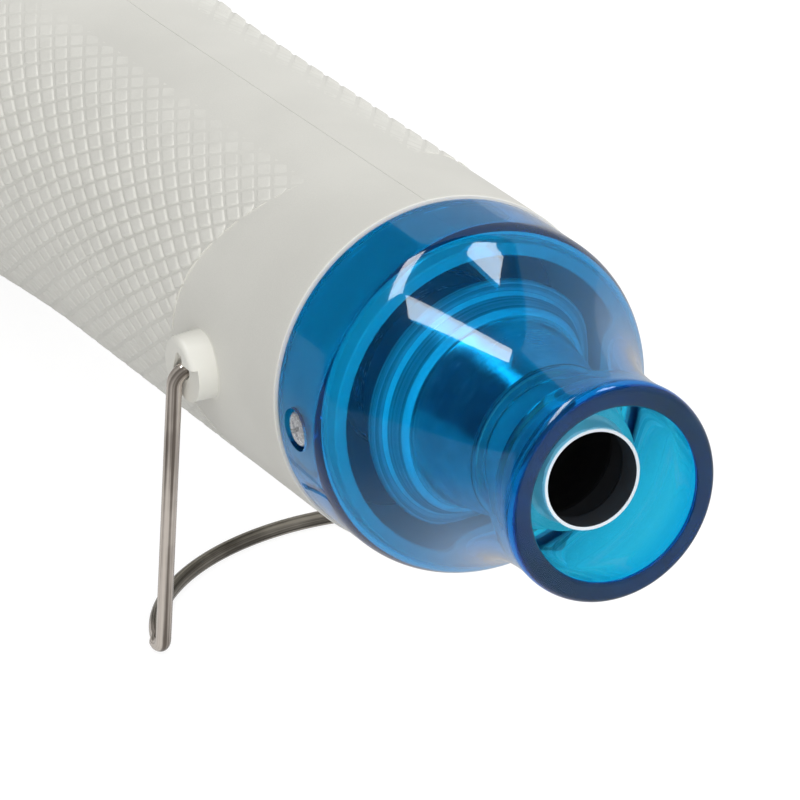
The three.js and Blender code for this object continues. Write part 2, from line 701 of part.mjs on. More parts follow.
function notches(board, quarters, place) {
  const room = COIL_WIRE + FIT;
  let made = board;
  for (let quarter = quarters; quarter <= 4 * COIL_TURNS; quarter += 2) {
    const along = coilStart + (COIL_PITCH * quarter) / 4;
    const out = quarter % 4 < 2 ? 1 : -1;
    const radial = [out * (coilOrbit - room), out * everywhere].sort((a, b) => a - b);
    made = cut(made, solid(place([along - room, along + room], radial)));
  }
  return made;
}
const thin = across(MICA_BOARD);
const wide = [-boardHalf, boardHalf];
const thick = [-everywhere, everywhere];
const upper = cut(
  solid(block(boardSpan, thin, wide)),
  solid(block([boardMiddle - FIT / 2, everywhere], thick, [-slotHalf, slotHalf])),
);
const flat = cut(
  solid(block(boardSpan, wide, thin)),
  solid(block([-everywhere, boardMiddle + FIT / 2], [-slotHalf, slotHalf], thick)),
);
const rivetAlong = boardSpan[0] + RIVET_HEAD + 1;
const rivetSide = boardHalf - RIVET_HEAD - 1.5;
const rivetHoles = [-1, 1].map((side) => {
  const hole = new THREE.CylinderGeometry(RIVET_RADIUS + FIT, RIVET_RADIUS + FIT, 4 * MICA_BOARD, 16);
  return solid(hole.rotateX(Math.PI / 2).translate(rivetAlong, side * rivetSide, 0));
});
piece("mica_board_upright", notches(upper, 0, (along, radial) => block(along, thick, radial)), mica);
piece(
  "mica_board_flat",
  cut(notches(flat, 1, (along, radial) => block(along, radial, thick)), ...rivetHoles),
  mica,
);
for (const [name, side] of [["left", 1], ["right", -1]]) {
  const profile = [
    new THREE.Vector2(0, -MICA_BOARD),
    new THREE.Vector2(RIVET_RADIUS, -MICA_BOARD),
    new THREE.Vector2(RIVET_RADIUS, MICA_BOARD / 2 + FIT),
    new THREE.Vector2(RIVET_HEAD, MICA_BOARD / 2 + FIT),
    new THREE.Vector2(RIVET_HEAD * 0.6, 2 * MICA_BOARD),
    new THREE.Vector2(0, 2 * MICA_BOARD),
  ];
  const mesh = piece("heater_rivet_" + name, new THREE.LatheGeometry(profile, 16), brass);
  mesh.rotation.x = Math.PI / 2;
  mesh.position.set(rivetAlong, side * rivetSide, 0);
}

// Heating wire: one helix in the notches, its ends running straight along the axis
const coilSteps = 18;
function coilPoints() {
  const steps = coilSteps;
  const points = [];
  const tail = 2 * COIL_WIRE;
  for (let i = 0; i <= COIL_TURNS * steps; i++) {
    const turn = (2 * Math.PI * i) / steps;
    const along = coilStart + (COIL_PITCH * i) / steps;
    points.push(new THREE.Vector3(along, coilOrbit * Math.sin(turn), coilOrbit * Math.cos(turn)));
  }
  const first = points[0].clone().add(new THREE.Vector3(-tail / 2, -tail, 0));
  const last = points[points.length - 1].clone().add(new THREE.Vector3(tail / 2, tail, 0));
  return [first, ...points, last];
}
const coil = coilPoints();
let coilGap = Infinity;
coil.forEach((p, i) => {
  for (let j = i + coilSteps / 2; j < coil.length; j++) {
    coilGap = Math.min(coilGap, p.distanceTo(coil[j]) - 2 * COIL_WIRE);
  }
});
console.log("heating wire: least gap to itself", coilGap.toFixed(2), "mm");
piece("heater_coil", tube(new BentWire(coil), COIL_WIRE, coil.length - 1, 6), heatWire);

// Bimetal cut-out and thermal fuse lie on the flat board behind the windings
const guardAlong = (coilStart + rivetAlong) / 2;
const onBoard = MICA_BOARD / 2 + FIT;
const guardSide = sleeveInner * 0.42;
const cutoutShape = new THREE.CylinderGeometry(CUTOUT_RADIUS, CUTOUT_RADIUS, CUTOUT_HEIGHT, 20);
const cutout = piece("thermal_cutout", cutoutShape, brightSteel);
cutout.rotation.x = Math.PI / 2;
cutout.position.set(guardAlong, guardSide, onBoard + CUTOUT_HEIGHT / 2);
const fuse = piece("thermal_fuse", new THREE.CylinderGeometry(FUSE_RADIUS, FUSE_RADIUS, FUSE_LENGTH, 14), brass);
fuse.rotation.z = Math.PI / 2;
fuse.position.set(guardAlong, -guardSide, onBoard + FUSE_RADIUS);

// Fan: curved blades on a hub, pressed on the motor's shaft
const fanRadius = bodyInner - FAN_TIP_GAP;
const fan = new THREE.Group();
tool.add(fan);
function fanSolid() {
  const hubProfile = [
    at(fanRear, 0),
    at(fanRear, FAN_HUB),
    at(fanFront - FAN_HUB / 2, FAN_HUB),
    at(fanFront, FAN_HUB / 2),
    at(fanFront, 0),
  ];
  let made = solid(turned(hubProfile, 20));
  const chord = (FAN_LENGTH - FAN_BLADE) / Math.cos(FAN_PITCH * degrees) - FAN_BLADE;
  const camber = chord * 0.14;
  const section = new THREE.Shape();
  section.moveTo(-chord / 2, -FAN_BLADE / 2);
  section.quadraticCurveTo(0, 2 * camber - FAN_BLADE / 2, chord / 2, -FAN_BLADE / 2);
  section.lineTo(chord / 2, FAN_BLADE / 2);
  section.quadraticCurveTo(0, 2 * camber + FAN_BLADE / 2, -chord / 2, FAN_BLADE / 2);
  const rootDepth = FAN_HUB * 0.6;
  const bladeTip = Math.sqrt(fanRadius ** 2 - (chord * Math.sin(FAN_PITCH * degrees)) ** 2);
  for (let i = 0; i < FAN_BLADES; i++) {
    const blade = new THREE.ExtrudeGeometry(section, {
      depth: bladeTip - rootDepth,
      bevelEnabled: false,
      curveSegments: ROUND_STEPS,
    });
    blade
      .rotateZ(FAN_PITCH * degrees)
      .translate((fanFront + fanRear) / 2, -camber, rootDepth)
      .rotateX((2 * Math.PI * i) / FAN_BLADES);
    made = join(made, solid(blade));
  }
  return cut(made, solid(ring(-everywhere, everywhere, 0, SHAFT_RADIUS + FIT, 20)));
}
piece("fan_impeller", fanSolid(), blackPlastic, fan);
piece("motor_shaft", ring(capRear - FIT, fanFront - FIT, 0, SHAFT_RADIUS, 16), brightSteel, fan);

// Wound rotor on the same shaft: core, end windings and commutator
const canInner = MOTOR_RADIUS - MOTOR_WALL;
const magnetOuter = canInner - FIT;
const rotorRadius = magnetOuter - MAGNET - ROTOR_GAP;
const canFloor = motorFront - MOTOR_WALL;
function rotorProfile() {
  const bore = SHAFT_RADIUS + FIT;
  const rear = motorRear + MOTOR_WALL;
  const front = canFloor - MOTOR_WALL;
  const winding = (front - rear) * 0.16;
  const brushes = (front - rear) * 0.24;
  return [
    at(rear, bore),
    at(rear, rotorRadius * 0.36),
    at(rear + brushes, rotorRadius * 0.36),
    at(rear + brushes, rotorRadius * 0.75),
    at(rear + brushes + winding, rotorRadius * 0.9),
    at(rear + brushes + winding, rotorRadius),
    at(front - winding, rotorRadius),
    at(front - winding, rotorRadius * 0.9),
    at(front, rotorRadius * 0.75),
    at(front, bore),
  ];
}
piece("motor_rotor", turned(rotorProfile(), 20), copper, fan);

// Motor in its cradle, with its brush cap, front bush and terminals
const shaftRoom = SHAFT_RADIUS + FIT;
const bushRadius = MOTOR_BOSS_RADIUS * 0.6;
const can = [
  at(motorRear, canInner),
  at(motorRear, MOTOR_RADIUS),
  at(motorFront - 1, MOTOR_RADIUS),
  at(motorFront, MOTOR_RADIUS - 1),
  at(motorFront, MOTOR_BOSS_RADIUS),
  at(motorFront + MOTOR_BOSS, MOTOR_BOSS_RADIUS),
  at(motorFront + MOTOR_BOSS, bushRadius + FIT),
  at(motorFront, bushRadius + FIT),
  at(motorFront, shaftRoom),
  at(canFloor, shaftRoom),
  at(canFloor, canInner),
];
piece("motor_can", turned(can, PIPE_SIDES), canSteel);
for (const [name, side] of [["left", Math.PI], ["right", 0]]) {
  const arc = (MAGNET_SPAN / 2) * degrees;
  const shape = new THREE.Shape();
  shape.absarc(0, 0, magnetOuter, -arc, arc, false);
  shape.absarc(0, 0, magnetOuter - MAGNET, arc, -arc, true);
  const magnet = new THREE.ExtrudeGeometry(shape, {
    depth: MOTOR_LENGTH * 0.7,
    bevelEnabled: false,
    curveSegments: 2 * ROUND_STEPS,
  });
  magnet.rotateY(Math.PI / 2).rotateX(-Math.PI / 2 + side);
  const mesh = piece("motor_magnet_" + name, magnet, ferrite);
  mesh.position.x = canFloor - FIT - MOTOR_LENGTH * 0.7;
}
piece("motor_bush", ring(motorFront + FIT, motorFront + MOTOR_BOSS, shaftRoom, bushRadius, 20), brass);
const terminalSide = MOTOR_RADIUS * 0.55;
const terminalEnd = boardRear - 1.2;
const blade = (rear, front, side, z, room) =>
  block(
    [rear, front],
    [side - BLADE_WIDTH / 2 - room, side + BLADE_WIDTH / 2 + room],
    [z - BLADE_THICKNESS / 2 - room, z + BLADE_THICKNESS / 2 + room],
  );
const bladeRoom = [-1, 1].map((side) =>
  solid(blade(-everywhere, capRear + MOTOR_CAP / 2, side * terminalSide, 0, FIT)),
);
const capShape = ring(capRear, motorRear - FIT, shaftRoom, MOTOR_RADIUS - 1, PIPE_SIDES);
piece("motor_end_cap", cut(solid(capShape), ...bladeRoom), whitePlastic);
for (const [name, side] of [["left", 1], ["right", -1]]) {
  const front = capRear + MOTOR_CAP / 2 - FIT;
  piece("motor_terminal_" + name, blade(terminalEnd, front, side * terminalSide, 0, 0), brass);
}

function cradleSolid() {
  const front = cradleRear + CRADLE_WIDTH;
  const collar = MOTOR_RADIUS + FIT;
  const rim = bodyInner - FIT;
  let made = join(
    solid(ring(cradleRear, front, collar, collar + CRADLE_WALL, PIPE_SIDES)),
    solid(ring(cradleRear, front, rim - CRADLE_WALL, rim, BODY_SIDES)),
  );
  for (const turn of [30, 150, 270]) {
    const arm = block(
      [cradleRear, front],
      across(CRADLE_WALL),
      [collar + CRADLE_WALL / 2, rim - CRADLE_WALL / 2],
    ).rotateX((turn - 90) * degrees);
    made = join(made, solid(arm));
  }
  return cut(made, solid(leadChannel));
}
piece("motor_cradle", cradleSolid(), whitePlastic);

// Rectifier board on the motor's terminals, with four diodes and a capacitor on its back
const boardDisc = ring(boardRear, boardFront, 0, BOARD_RADIUS, 28);
piece("rectifier_board", cut(solid(boardDisc), ...bladeRoom), greenBoard);
const diodeProfile = [
  new THREE.Vector2(0, -DIODE_LENGTH / 2 - DIODE_RADIUS),
  new THREE.Vector2(DIODE_RADIUS * 0.3, -DIODE_LENGTH / 2 - DIODE_RADIUS),
  new THREE.Vector2(DIODE_RADIUS * 0.3, -DIODE_LENGTH / 2),
  new THREE.Vector2(DIODE_RADIUS, -DIODE_LENGTH / 2),
  new THREE.Vector2(DIODE_RADIUS, DIODE_LENGTH / 2),
  new THREE.Vector2(DIODE_RADIUS * 0.3, DIODE_LENGTH / 2),
  new THREE.Vector2(DIODE_RADIUS * 0.3, DIODE_LENGTH / 2 + DIODE_RADIUS),
  new THREE.Vector2(0, DIODE_LENGTH / 2 + DIODE_RADIUS),
];
const diodeHeights = [5.6, 2.6, -2.6, -5.6].map((share) => share * (BOARD_RADIUS / 8));
diodeHeights.forEach((z, i) => {
  const mesh = piece("diode_" + (i + 1), new THREE.LatheGeometry(diodeProfile, 8), blackPlastic);
  const side = i % 2 ? -1 : 1;
  mesh.position.set(boardRear - FIT - DIODE_RADIUS, side * DIODE_LENGTH * 0.15, z);
});
const capacitor = ring(boardRear - FIT - CAPACITOR_LENGTH, boardRear - FIT, 0, CAPACITOR_RADIUS * 0.5, 16);
piece("noise_capacitor", capacitor, mica);

// Rocker switch: case with a bezel on the pad, rocker on two pins, terminals below
const bezelLow = padTop + FIT;
const rockerPivot = padTop - 1;
const rockerReach = Math.hypot(ROCKER_LENGTH / 2, ROCKER_RISE);
const rockerSlope = Math.atan2(ROCKER_RISE, ROCKER_LENGTH / 2);
const rockerRoom = rockerReach * Math.cos(rockerSlope - ROCKER_TILT * degrees) + FIT;
const rockerKeel = ROCKER_RISE * 0.85;
const caseFloor = bezelLow - SWITCH_DEPTH;
function switchCase() {
  const body = block(span(switchMiddle, caseLength), across(caseWidth), [caseFloor, bezelLow + BEZEL / 2]);
  const bezel = block(
    span(switchMiddle, SWITCH_LENGTH),
    across(SWITCH_WIDTH),
    [bezelLow, bezelLow + BEZEL],
  );
  const pocket = block(
    span(switchMiddle, 2 * rockerRoom),
    across(ROCKER_WIDTH + 2 * FIT),
    [rockerPivot - rockerKeel - FIT, everywhere],
  );
  const pins = crossbar(switchMiddle, rockerPivot, -everywhere, everywhere, ROCKER_PIN + FIT, ROCKER_PIN + FIT, 14);
  return cut(join(solid(body), solid(bezel)), solid(pocket), solid(pins));
}
piece("switch_case", switchCase(), blackPlastic);

const rocker = new THREE.Group();
rocker.position.set(switchMiddle, 0, rockerPivot);
rocker.rotation.y = -ROCKER_TILT * degrees;
tool.add(rocker);
function rockerSolid() {
  const end = ROCKER_LENGTH / 2;
  const shape = new THREE.Shape();
  shape.moveTo(-end, 0);
  shape.lineTo(0, -rockerKeel);
  shape.lineTo(end, 0);
  shape.lineTo(end, ROCKER_RISE);
  shape.quadraticCurveTo(0, ROCKER_RISE - 2 * ROCKER_DIP, -end, ROCKER_RISE);
  const pinEnd = (caseWidth + ROCKER_WIDTH) / 4;
  return join(
    solid(upright(shape, -ROCKER_WIDTH / 2, ROCKER_WIDTH / 2)),
    solid(crossbar(0, 0, -pinEnd, pinEnd, ROCKER_PIN, ROCKER_PIN, 14)),
  );
}
piece("switch_rocker", rockerSolid(), redPlastic, rocker);
const switchBladeLength = 6;
const switchBlades = [1, -1].map((end) => switchMiddle + end * caseLength * 0.3);
switchBlades.forEach((along, i) => {
  const shape = block(
    span(along, BLADE_THICKNESS),
    across(2 * BLADE_WIDTH),
    [caseFloor - FIT - switchBladeLength, caseFloor - FIT],
  );
  piece("switch_terminal_" + (i ? "rear" : "front"), shape, brass);
});

// Rubber bush of the lead's inlet, gripping the tail wall between two flanges
const inletWall = -bodyLength + GLAND_LIP + FIT;
const glandProfile = [
  at(-bodyLength, GLAND_BORE),
  at(-bodyLength, GLAND_FLANGE),
  at(inletWall - FIT, GLAND_FLANGE),
  at(inletWall - FIT, GLAND_NECK),
  at(inletWall + BODY_WALL + FIT, GLAND_NECK),
  at(inletWall + BODY_WALL + FIT, GLAND_FLANGE),
  at(inletWall + BODY_WALL + FIT + GLAND_LIP, GLAND_FLANGE),
  at(inletWall + BODY_WALL + FIT + GLAND_LIP, GLAND_BORE),
];
piece("cord_gland", turned(glandProfile, 24), blackPlastic);

// Leads: two from the heater's rivets over the fan and motor, two from the board to the switch
function lead(name, points) {
  const curve = new THREE.CatmullRomCurve3(points.map((p) => new THREE.Vector3(...p)));
  piece(name, tube(curve, LEAD_RADIUS, 18, 6), leadCover);
}
const leadRise = heaterRear - PLENUM * 0.55;
for (const [name, side] of [["left", 1], ["right", -1]]) {
  const start = rivetAlong - RIVET_HEAD - FIT;
  lead("heater_lead_" + name, [
    [start, side * rivetSide, onBoard + LEAD_RADIUS],
    [start - 1.6, side * rivetSide, onBoard + LEAD_RADIUS + 0.4],
    [leadRise, side * (leadSide + 2.4), leadTop * 0.62],
    [fanFront + 1, side * leadSide, leadTop - 0.8],
    [fanRear, side * leadSide, leadTop],
    [motorFront, side * leadSide, leadTop],
    [motorRear, side * leadSide, leadTop],
    [capRear, side * leadSide, leadTop - 0.4],
    [boardFront + 1, side * leadSide * 0.9, (leadTop + BOARD_RADIUS) / 2 + 1],
    [(boardFront + boardRear) / 2, side * leadSide * 0.7, BOARD_RADIUS + FIT],
  ]);
  const blade = switchBlades[side > 0 ? 0 : 1];
  const hook = caseFloor - FIT - switchBladeLength * 0.75;
  lead("switch_lead_" + name, [
    [boardRear - FIT, side * BOARD_RADIUS * 0.72, -BOARD_RADIUS * 0.3],
    [boardRear - LEAD_STRAIGHT, side * BOARD_RADIUS * 0.72, -BOARD_RADIUS * 0.25],
    [bossMiddle, side * (BLADE_WIDTH + 2.2), 0],
    [blade + LEAD_HOOK, side * (BLADE_WIDTH + 2.2), hook],
    [blade, side * (BLADE_WIDTH + LEAD_RADIUS + FIT + 1.2), hook],
    [blade - 0.4, side * (BLADE_WIDTH + FIT), hook],
  ]);
}

// Wire stand on the ears, legs against their rear stop
const standPath = standPoints();
const stand = new THREE.Group();
stand.position.set(-EAR_SETBACK, 0, 0);
stand.rotation.y = LEG_LEAN * degrees;
tool.add(stand);
piece("wire_stand", tube(new BentWire(standPath), WIRE_RADIUS, standPath.length - 1, 8), springSteel, stand);

// Nose-up angle at which the stand's foot and the tail's rim reach the same level
function standingAngle() {
  const lean = new THREE.Matrix4().makeRotationY(LEG_LEAN * degrees).setPosition(-EAR_SETBACK, 0, 0);
  const foot = standPath.map((p) => p.clone().applyMatrix4(lean));
  const rim = bodyOutline(0, 0).map((p) => new THREE.Vector3(p.x, 0, -p.y));
  const lowest = (points, tilt) =>
    Math.min(...points.map((p) => p.x * Math.sin(tilt) + p.z * Math.cos(tilt)));
  let low = 0;
  let high = 30 * degrees;
  for (let i = 0; i < 40; i++) {
    const tilt = (low + high) / 2;
    if (lowest(foot, tilt) - WIRE_RADIUS < lowest(rim, tilt)) low = tilt;
    else high = tilt;
  }
  return (low + high) / 2;
}
tool.rotation.y = -standingAngle();

// Origin at the middle of the footprint, on the surface it stands on
root.updateMatrixWorld(true);
const extent = new THREE.Box3().setFromObject(root, true);
const middle = extent.getCenter(new THREE.Vector3());
tool.position.set(-middle.x, -middle.y, -extent.min.z);

export default root;
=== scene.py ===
import json
import math

import bmesh
import bpy
from mathutils import Matrix, Vector


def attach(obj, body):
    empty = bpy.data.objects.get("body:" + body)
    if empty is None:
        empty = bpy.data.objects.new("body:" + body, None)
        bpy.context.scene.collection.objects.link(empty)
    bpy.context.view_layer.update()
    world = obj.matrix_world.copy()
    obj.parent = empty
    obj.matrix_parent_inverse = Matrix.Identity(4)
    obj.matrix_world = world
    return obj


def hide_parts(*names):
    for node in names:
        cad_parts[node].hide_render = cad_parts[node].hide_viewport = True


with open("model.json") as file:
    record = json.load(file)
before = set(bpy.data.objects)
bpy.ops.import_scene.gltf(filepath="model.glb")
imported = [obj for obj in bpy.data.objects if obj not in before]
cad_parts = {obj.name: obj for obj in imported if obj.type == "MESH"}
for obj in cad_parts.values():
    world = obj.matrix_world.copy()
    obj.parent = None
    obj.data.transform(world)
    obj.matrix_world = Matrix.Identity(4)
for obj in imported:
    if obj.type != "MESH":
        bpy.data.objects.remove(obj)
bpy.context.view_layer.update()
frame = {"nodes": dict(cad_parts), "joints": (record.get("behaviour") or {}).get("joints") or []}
scene = bpy.context.scene

# Heating element: two mica boards crossed in half slots, with resistance wire wound in their notches.
# They slide into a mica-lined steel tube that two phenolic rings hold in the middle of the body.
# Brass rivets join the wire to its leads, and a bimetal cut-out and a fuse lie on the flat board.
MM = 0.001
joints = {j["name"]: j for j in frame["joints"]}
forward = Vector(joints["fan_spin"]["axis"]).normalized()
left = Vector((0, 1, 0))
upward = forward.cross(left)
tilt = math.atan2(forward.z, forward.x)
EAR_SETBACK = 23.2
front_face = Vector(joints["stand_fold"]["pos_m"]) + forward * EAR_SETBACK * MM
AXES = Matrix((forward, left, upward)).transposed()
TO_ROW = Matrix.Translation(front_face) @ AXES.to_4x4() @ Matrix.Scale(MM, 4)
TO_TOOL = TO_ROW.inverted()


class Link:
    """A socket of a node tree. Arithmetic with it adds Math nodes to that tree."""

    def __init__(self, tree, socket=None):
        self.tree = tree
        self.socket = socket

    def node(self, kind, sockets=None, out=0, **settings):
        made = self.tree.nodes.new(kind)
        for name, value in settings.items():
            setattr(made, name, value)
        for name, value in (sockets or {}).items():
            if isinstance(value, Link):
                self.tree.links.new(value.socket, made.inputs[name])
            else:
                made.inputs[name].default_value = value
        return Link(self.tree, made.outputs[out]) if made.outputs else None

    def of(self, name):
        return Link(self.tree, self.socket.node.outputs[name])

    def maths(self, operation, *others):
        return self.node("ShaderNodeMath", dict(enumerate((self, *others))), operation=operation)

    def __add__(self, other):
        return self.maths("ADD", other)

    def __sub__(self, other):
        return self.maths("SUBTRACT", other)

    def __rsub__(self, other):
        return self.node("ShaderNodeMath", {0: other, 1: self}, operation="SUBTRACT")

    def __mul__(self, other):
        return self.maths("MULTIPLY", other)

    def __truediv__(self, other):
        return self.maths("DIVIDE", other)

    def __lt__(self, other):
        return self.maths("LESS_THAN", other)

    def __gt__(self, other):
        return self.maths("GREATER_THAN", other)

    __radd__ = __add__
    __rmul__ = __mul__

    def ease(self, low, high, start=0.0, end=1.0):
        limits = {"Value": self, "From Min": low, "From Max": high, "To Min": start, "To Max": end}
        return self.node("ShaderNodeMapRange", limits, interpolation_type="SMOOTHSTEP")

    def blend(self, first, second):
        return self.node("ShaderNodeMix", {0: self, 6: first, 7: second}, 2, data_type="RGBA")

    def noise(self, scale, detail=2.0):
        return self.node("ShaderNodeTexNoise", {"Vector": self, "Scale": scale, "Detail": detail})

    def split(self):
        parts = self.node("ShaderNodeSeparateXYZ", {"Vector": self})
        return parts, parts.of("Y"), parts.of("Z")

    def point(self, **parts):
        return self.node("ShaderNodeCombineXYZ", parts)

    def feed(self, shader, **sockets):
        for name, link in sockets.items():
            self.tree.links.new(link.socket, shader.inputs[name.replace("_", " ")])

    def bump(self, depth):
        return self.node("ShaderNodeBump", {"Height": self, "Strength": 1.0, "Distance": depth * MM})


def paint(red, green, blue):
    """Colour given in display values from 0 to 255."""
    tones = [v / 255 for v in (red, green, blue)]
    return [t / 12.92 if t < 0.04045 else ((t + 0.055) / 1.055) ** 2.4 for t in tones] + [1.0]


def new_finish(name, **constants):
    """Material, a link to the place on the tool in mm, and the material's shader."""
    made = bpy.data.materials.new(name)
    made.use_nodes = True
    shader = made.node_tree.nodes["Principled BSDF"]
    for label, value in constants.items():
        shader.inputs[label.replace("_", " ")].default_value = value
    place = Link(made.node_tree).node("ShaderNodeTexCoord", out="Object")
    to_tool = {
        "Vector": place,
        "Location": TO_TOOL.translation,
        "Rotation": (0, tilt, 0),
        "Scale": (1 / MM,) * 3,
    }
    return made, place.node("ShaderNodeMapping", to_tool, vector_type="POINT"), shader


GRAIN_RELIEF = 0.004


def mottled(name, tones, rough, grain=0.4, **constants):
    """Finish whose tone and gloss wander a little, with a grain of the given size in mm."""
    made, place, shader = new_finish(name, **constants)
    fine = place.noise(1 / grain, 3.0)
    mix = (place.noise(0.22) * 0.6 + fine * 0.4).ease(0.32, 0.68)
    place.feed(
        shader,
        Base_Color=mix.blend(*tones),
        Roughness=fine.ease(0.3, 0.7, *rough),
        Normal=fine.bump(GRAIN_RELIEF),
    )
    return made


def dress(material, *nodes):
    """Gives CAD nodes that keep their own shape a material."""
    for node in nodes:
        for place in frame["nodes"][node].material_slots:
            place.material = material


def lathe_rings(place, per_mm):
    """The fine rings that a lathe or a spinning tool leaves round the tool's axis."""
    along, across, height = place.split()
    out = (across * across + height * height).maths("SQRT")
    return place.point(X=along * per_mm, Y=out * per_mm).noise(1.0, 3.0)


def turned_metal(name, tones, rough):
    """Metal with lathe rings, and a gloss that is smudged here and there."""
    made, place, shader = new_finish(name, Metallic=1.0)
    rings = lathe_rings(place, 5.0)
    smudge = place.noise(0.16, 3.0)
    place.feed(
        shader,
        Base_Color=smudge.ease(0.3, 0.7).blend(*tones),
        Roughness=(smudge * 0.6 + rings * 0.4).ease(0.32, 0.68, *rough),
        Normal=rings.bump(0.006),
    )
    return made


bright_steel = turned_metal("drawn_steel", (paint(196, 197, 200), paint(222, 223, 225)), (0.16, 0.30))
mica_sheet = mottled("mica_sheet", (paint(150, 131, 92), paint(201, 184, 143)), (0.35, 0.6), grain=0.8)
phenolic = mottled("phenolic", (paint(22, 21, 20), paint(38, 37, 36)), (0.5, 0.7))
brass = mottled("stamped_brass", (paint(168, 134, 66), paint(205, 173, 98)), (0.22, 0.4), Metallic=1.0)
wire_skin = mottled("oxidised_wire", (paint(84, 76, 70), paint(128, 117, 108)), (0.35, 0.6), Metallic=1.0)
dress(bright_steel, "heater_tube", "thermal_cutout")
dress(mica_sheet, "mica_sleeve", "mica_board_upright", "mica_board_flat", "noise_capacitor")
dress(phenolic, "heater_ring_front", "heater_ring_rear")
dress(brass, "heater_rivet_left", "heater_rivet_right", "thermal_fuse", "motor_bush")
dress(brass, "motor_terminal_left", "motor_terminal_right", "switch_terminal_front", "switch_terminal_rear")


def placed(name, data):
    """New object in the scene."""
    thing = bpy.data.objects.new(name, data)
    scene.collection.objects.link(thing)
    return thing


def baked(blank):
    """Plain mesh of an object with its modifiers applied."""
    return bpy.data.meshes.new_from_object(blank.evaluated_get(bpy.context.evaluated_depsgraph_get()))


def grown(name, sizes, material, build, source=None):
    """Plain mesh of a node tree that build makes from its named inputs, in the tool's frame."""
    tree = bpy.data.node_groups.new(name, "GeometryNodeTree")
    tree.interface.new_socket("Geometry", in_out="OUTPUT", socket_type="NodeSocketGeometry")
    tree.interface.new_socket("Source", in_out="INPUT", socket_type="NodeSocketGeometry")
    for label, value in sizes.items():
        kind = "NodeSocketInt" if isinstance(value, int) else "NodeSocketFloat"
        tree.interface.new_socket(label, in_out="INPUT", socket_type=kind)
    entry = Link(tree).node("NodeGroupInput")
    shape = build({label: entry.of(label) for label in ("Source", *sizes)})
    whole = shape.node("GeometryNodeRealizeInstances", {"Geometry": shape})
    dressed = whole.node("GeometryNodeSetMaterial", {"Geometry": whole, "Material": material})
    dressed.node("NodeGroupOutput", {"Geometry": dressed})
    blank = placed(name, source or bpy.data.meshes.new(name))
    change = blank.modifiers.new(name, "NODES")
    change.node_group = tree
    for item in tree.interface.items_tree:
        if item.in_out == "INPUT" and item.name in sizes:
            change[item.identifier] = sizes[item.name]
    made = baked(blank)
    blank.modifiers.remove(change)
    bpy.data.objects.remove(blank)
    return made


def keep(name, mesh, material, nodes=(), body="base", crease=30):
    """Finished piece from a mesh in the tool's frame, in place of the CAD nodes that it stands for."""
    mesh.name = name
    mesh.transform(TO_ROW)
    mesh.materials.clear()
    mesh.materials.append(material)
    mesh.shade_smooth()
    mesh.set_sharp_from_angle(angle=math.radians(crease))
    piece = placed(name, mesh)
    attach(piece, body)
    if nodes:
        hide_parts(*nodes)


def coil_winding(given):
    """Helix about the tool's axis, starting at the top."""
    spiral = given["Source"].node(
        "GeometryNodeCurveSpiral",
        {
            "Resolution": 40,
            "Rotations": given["Turns"],
            "Start Radius": given["Orbit"],
            "End Radius": given["Orbit"],
            "Height": given["Turns"] * given["Pitch"],
        },
    )
    x, y, z = spiral.node("GeometryNodeInputPosition").split()
    place = x.point(X=z + given["Start"], Y=y, Z=x)
    laid = place.node("GeometryNodeSetPosition", {"Geometry": spiral, "Position": place})
    section = laid.node("GeometryNodeCurvePrimitiveCircle", {"Resolution": 10, "Radius": given["Wire"]})
    return section.node(
        "GeometryNodeCurveToMesh", {"Curve": laid, "Profile Curve": section, "Fill Caps": True}
    )


coil_sizes = {"Turns": 6.0, "Pitch": 3.6, "Orbit": 10.5, "Start": -32.3, "Wire": 0.6}
coil = grown("coil_winding", coil_sizes, wire_skin, coil_winding)
keep("heating_coil", coil, wire_skin, ["heater_coil"])

# Fan and motor: a moulded impeller on the shaft of a small brushed motor, with two arc magnets in a
# plated can. A white moulded cradle with three arms holds the can between ribs of the body.
black_plastic = mottled("black_moulding", (paint(16, 16, 17), paint(30, 30, 31)), (0.32, 0.5), grain=0.25)
white_inner = mottled("white_inner", (paint(216, 214, 206), paint(228, 227, 220)), (0.45, 0.6))
plated_can = turned_metal("plated_can", (paint(146, 149, 152), paint(178, 180, 184)), (0.22, 0.4))
ferrite = mottled("ferrite", (paint(52, 52, 55), paint(72, 72, 76)), (0.5, 0.75), grain=0.2)
dress(black_plastic, "fan_impeller", "diode_1", "diode_2", "diode_3", "diode_4")
dress(bright_steel, "motor_shaft")
dress(plated_can, "motor_can")
dress(ferrite, "motor_magnet_left", "motor_magnet_right")
dress(white_inner, "motor_end_cap", "motor_cradle")

windings, place, shader = new_finish("rotor_windings", Metallic=1.0)
winding = {"Vector": place, "Scale": 1.4, "Distortion": 0.6}
turns = place.node("ShaderNodeTexWave", winding, bands_direction="X")
place.feed(
    shader,
    Base_Color=turns.blend(paint(120, 62, 30), paint(190, 116, 64)),
    Roughness=turns.ease(0.0, 1.0, 0.45, 0.25),
    Normal=turns.bump(0.05),
)
dress(windings, "motor_rotor")

# Rectifier: a round laminate board pushed on the motor's blades, with four diodes and a capacitor.
# Leads in braided sleeves run from it over the motor to the heater, and back to the switch.
laminate = mottled("board_laminate", (paint(38, 82, 46), paint(56, 104, 62)), (0.35, 0.55), grain=0.9)
dress(laminate, "rectifier_board")
sleeve, place, shader = new_finish("braided_sleeve")
weave = place.node("ShaderNodeTexWave", {"Vector": place, "Scale": 1.1}, bands_direction="DIAGONAL")
tint = (weave * 0.7 + place.noise(1.5) * 0.3).ease(0.2, 0.8)
place.feed(
    shader,
    Base_Color=tint.blend(paint(190, 186, 174), paint(222, 219, 208)),
    Roughness=tint.ease(0.0, 1.0, 0.8, 0.6),
    Normal=weave.bump(0.06),
)
dress(sleeve, "heater_lead_left", "heater_lead_right", "switch_lead_left", "switch_lead_right")

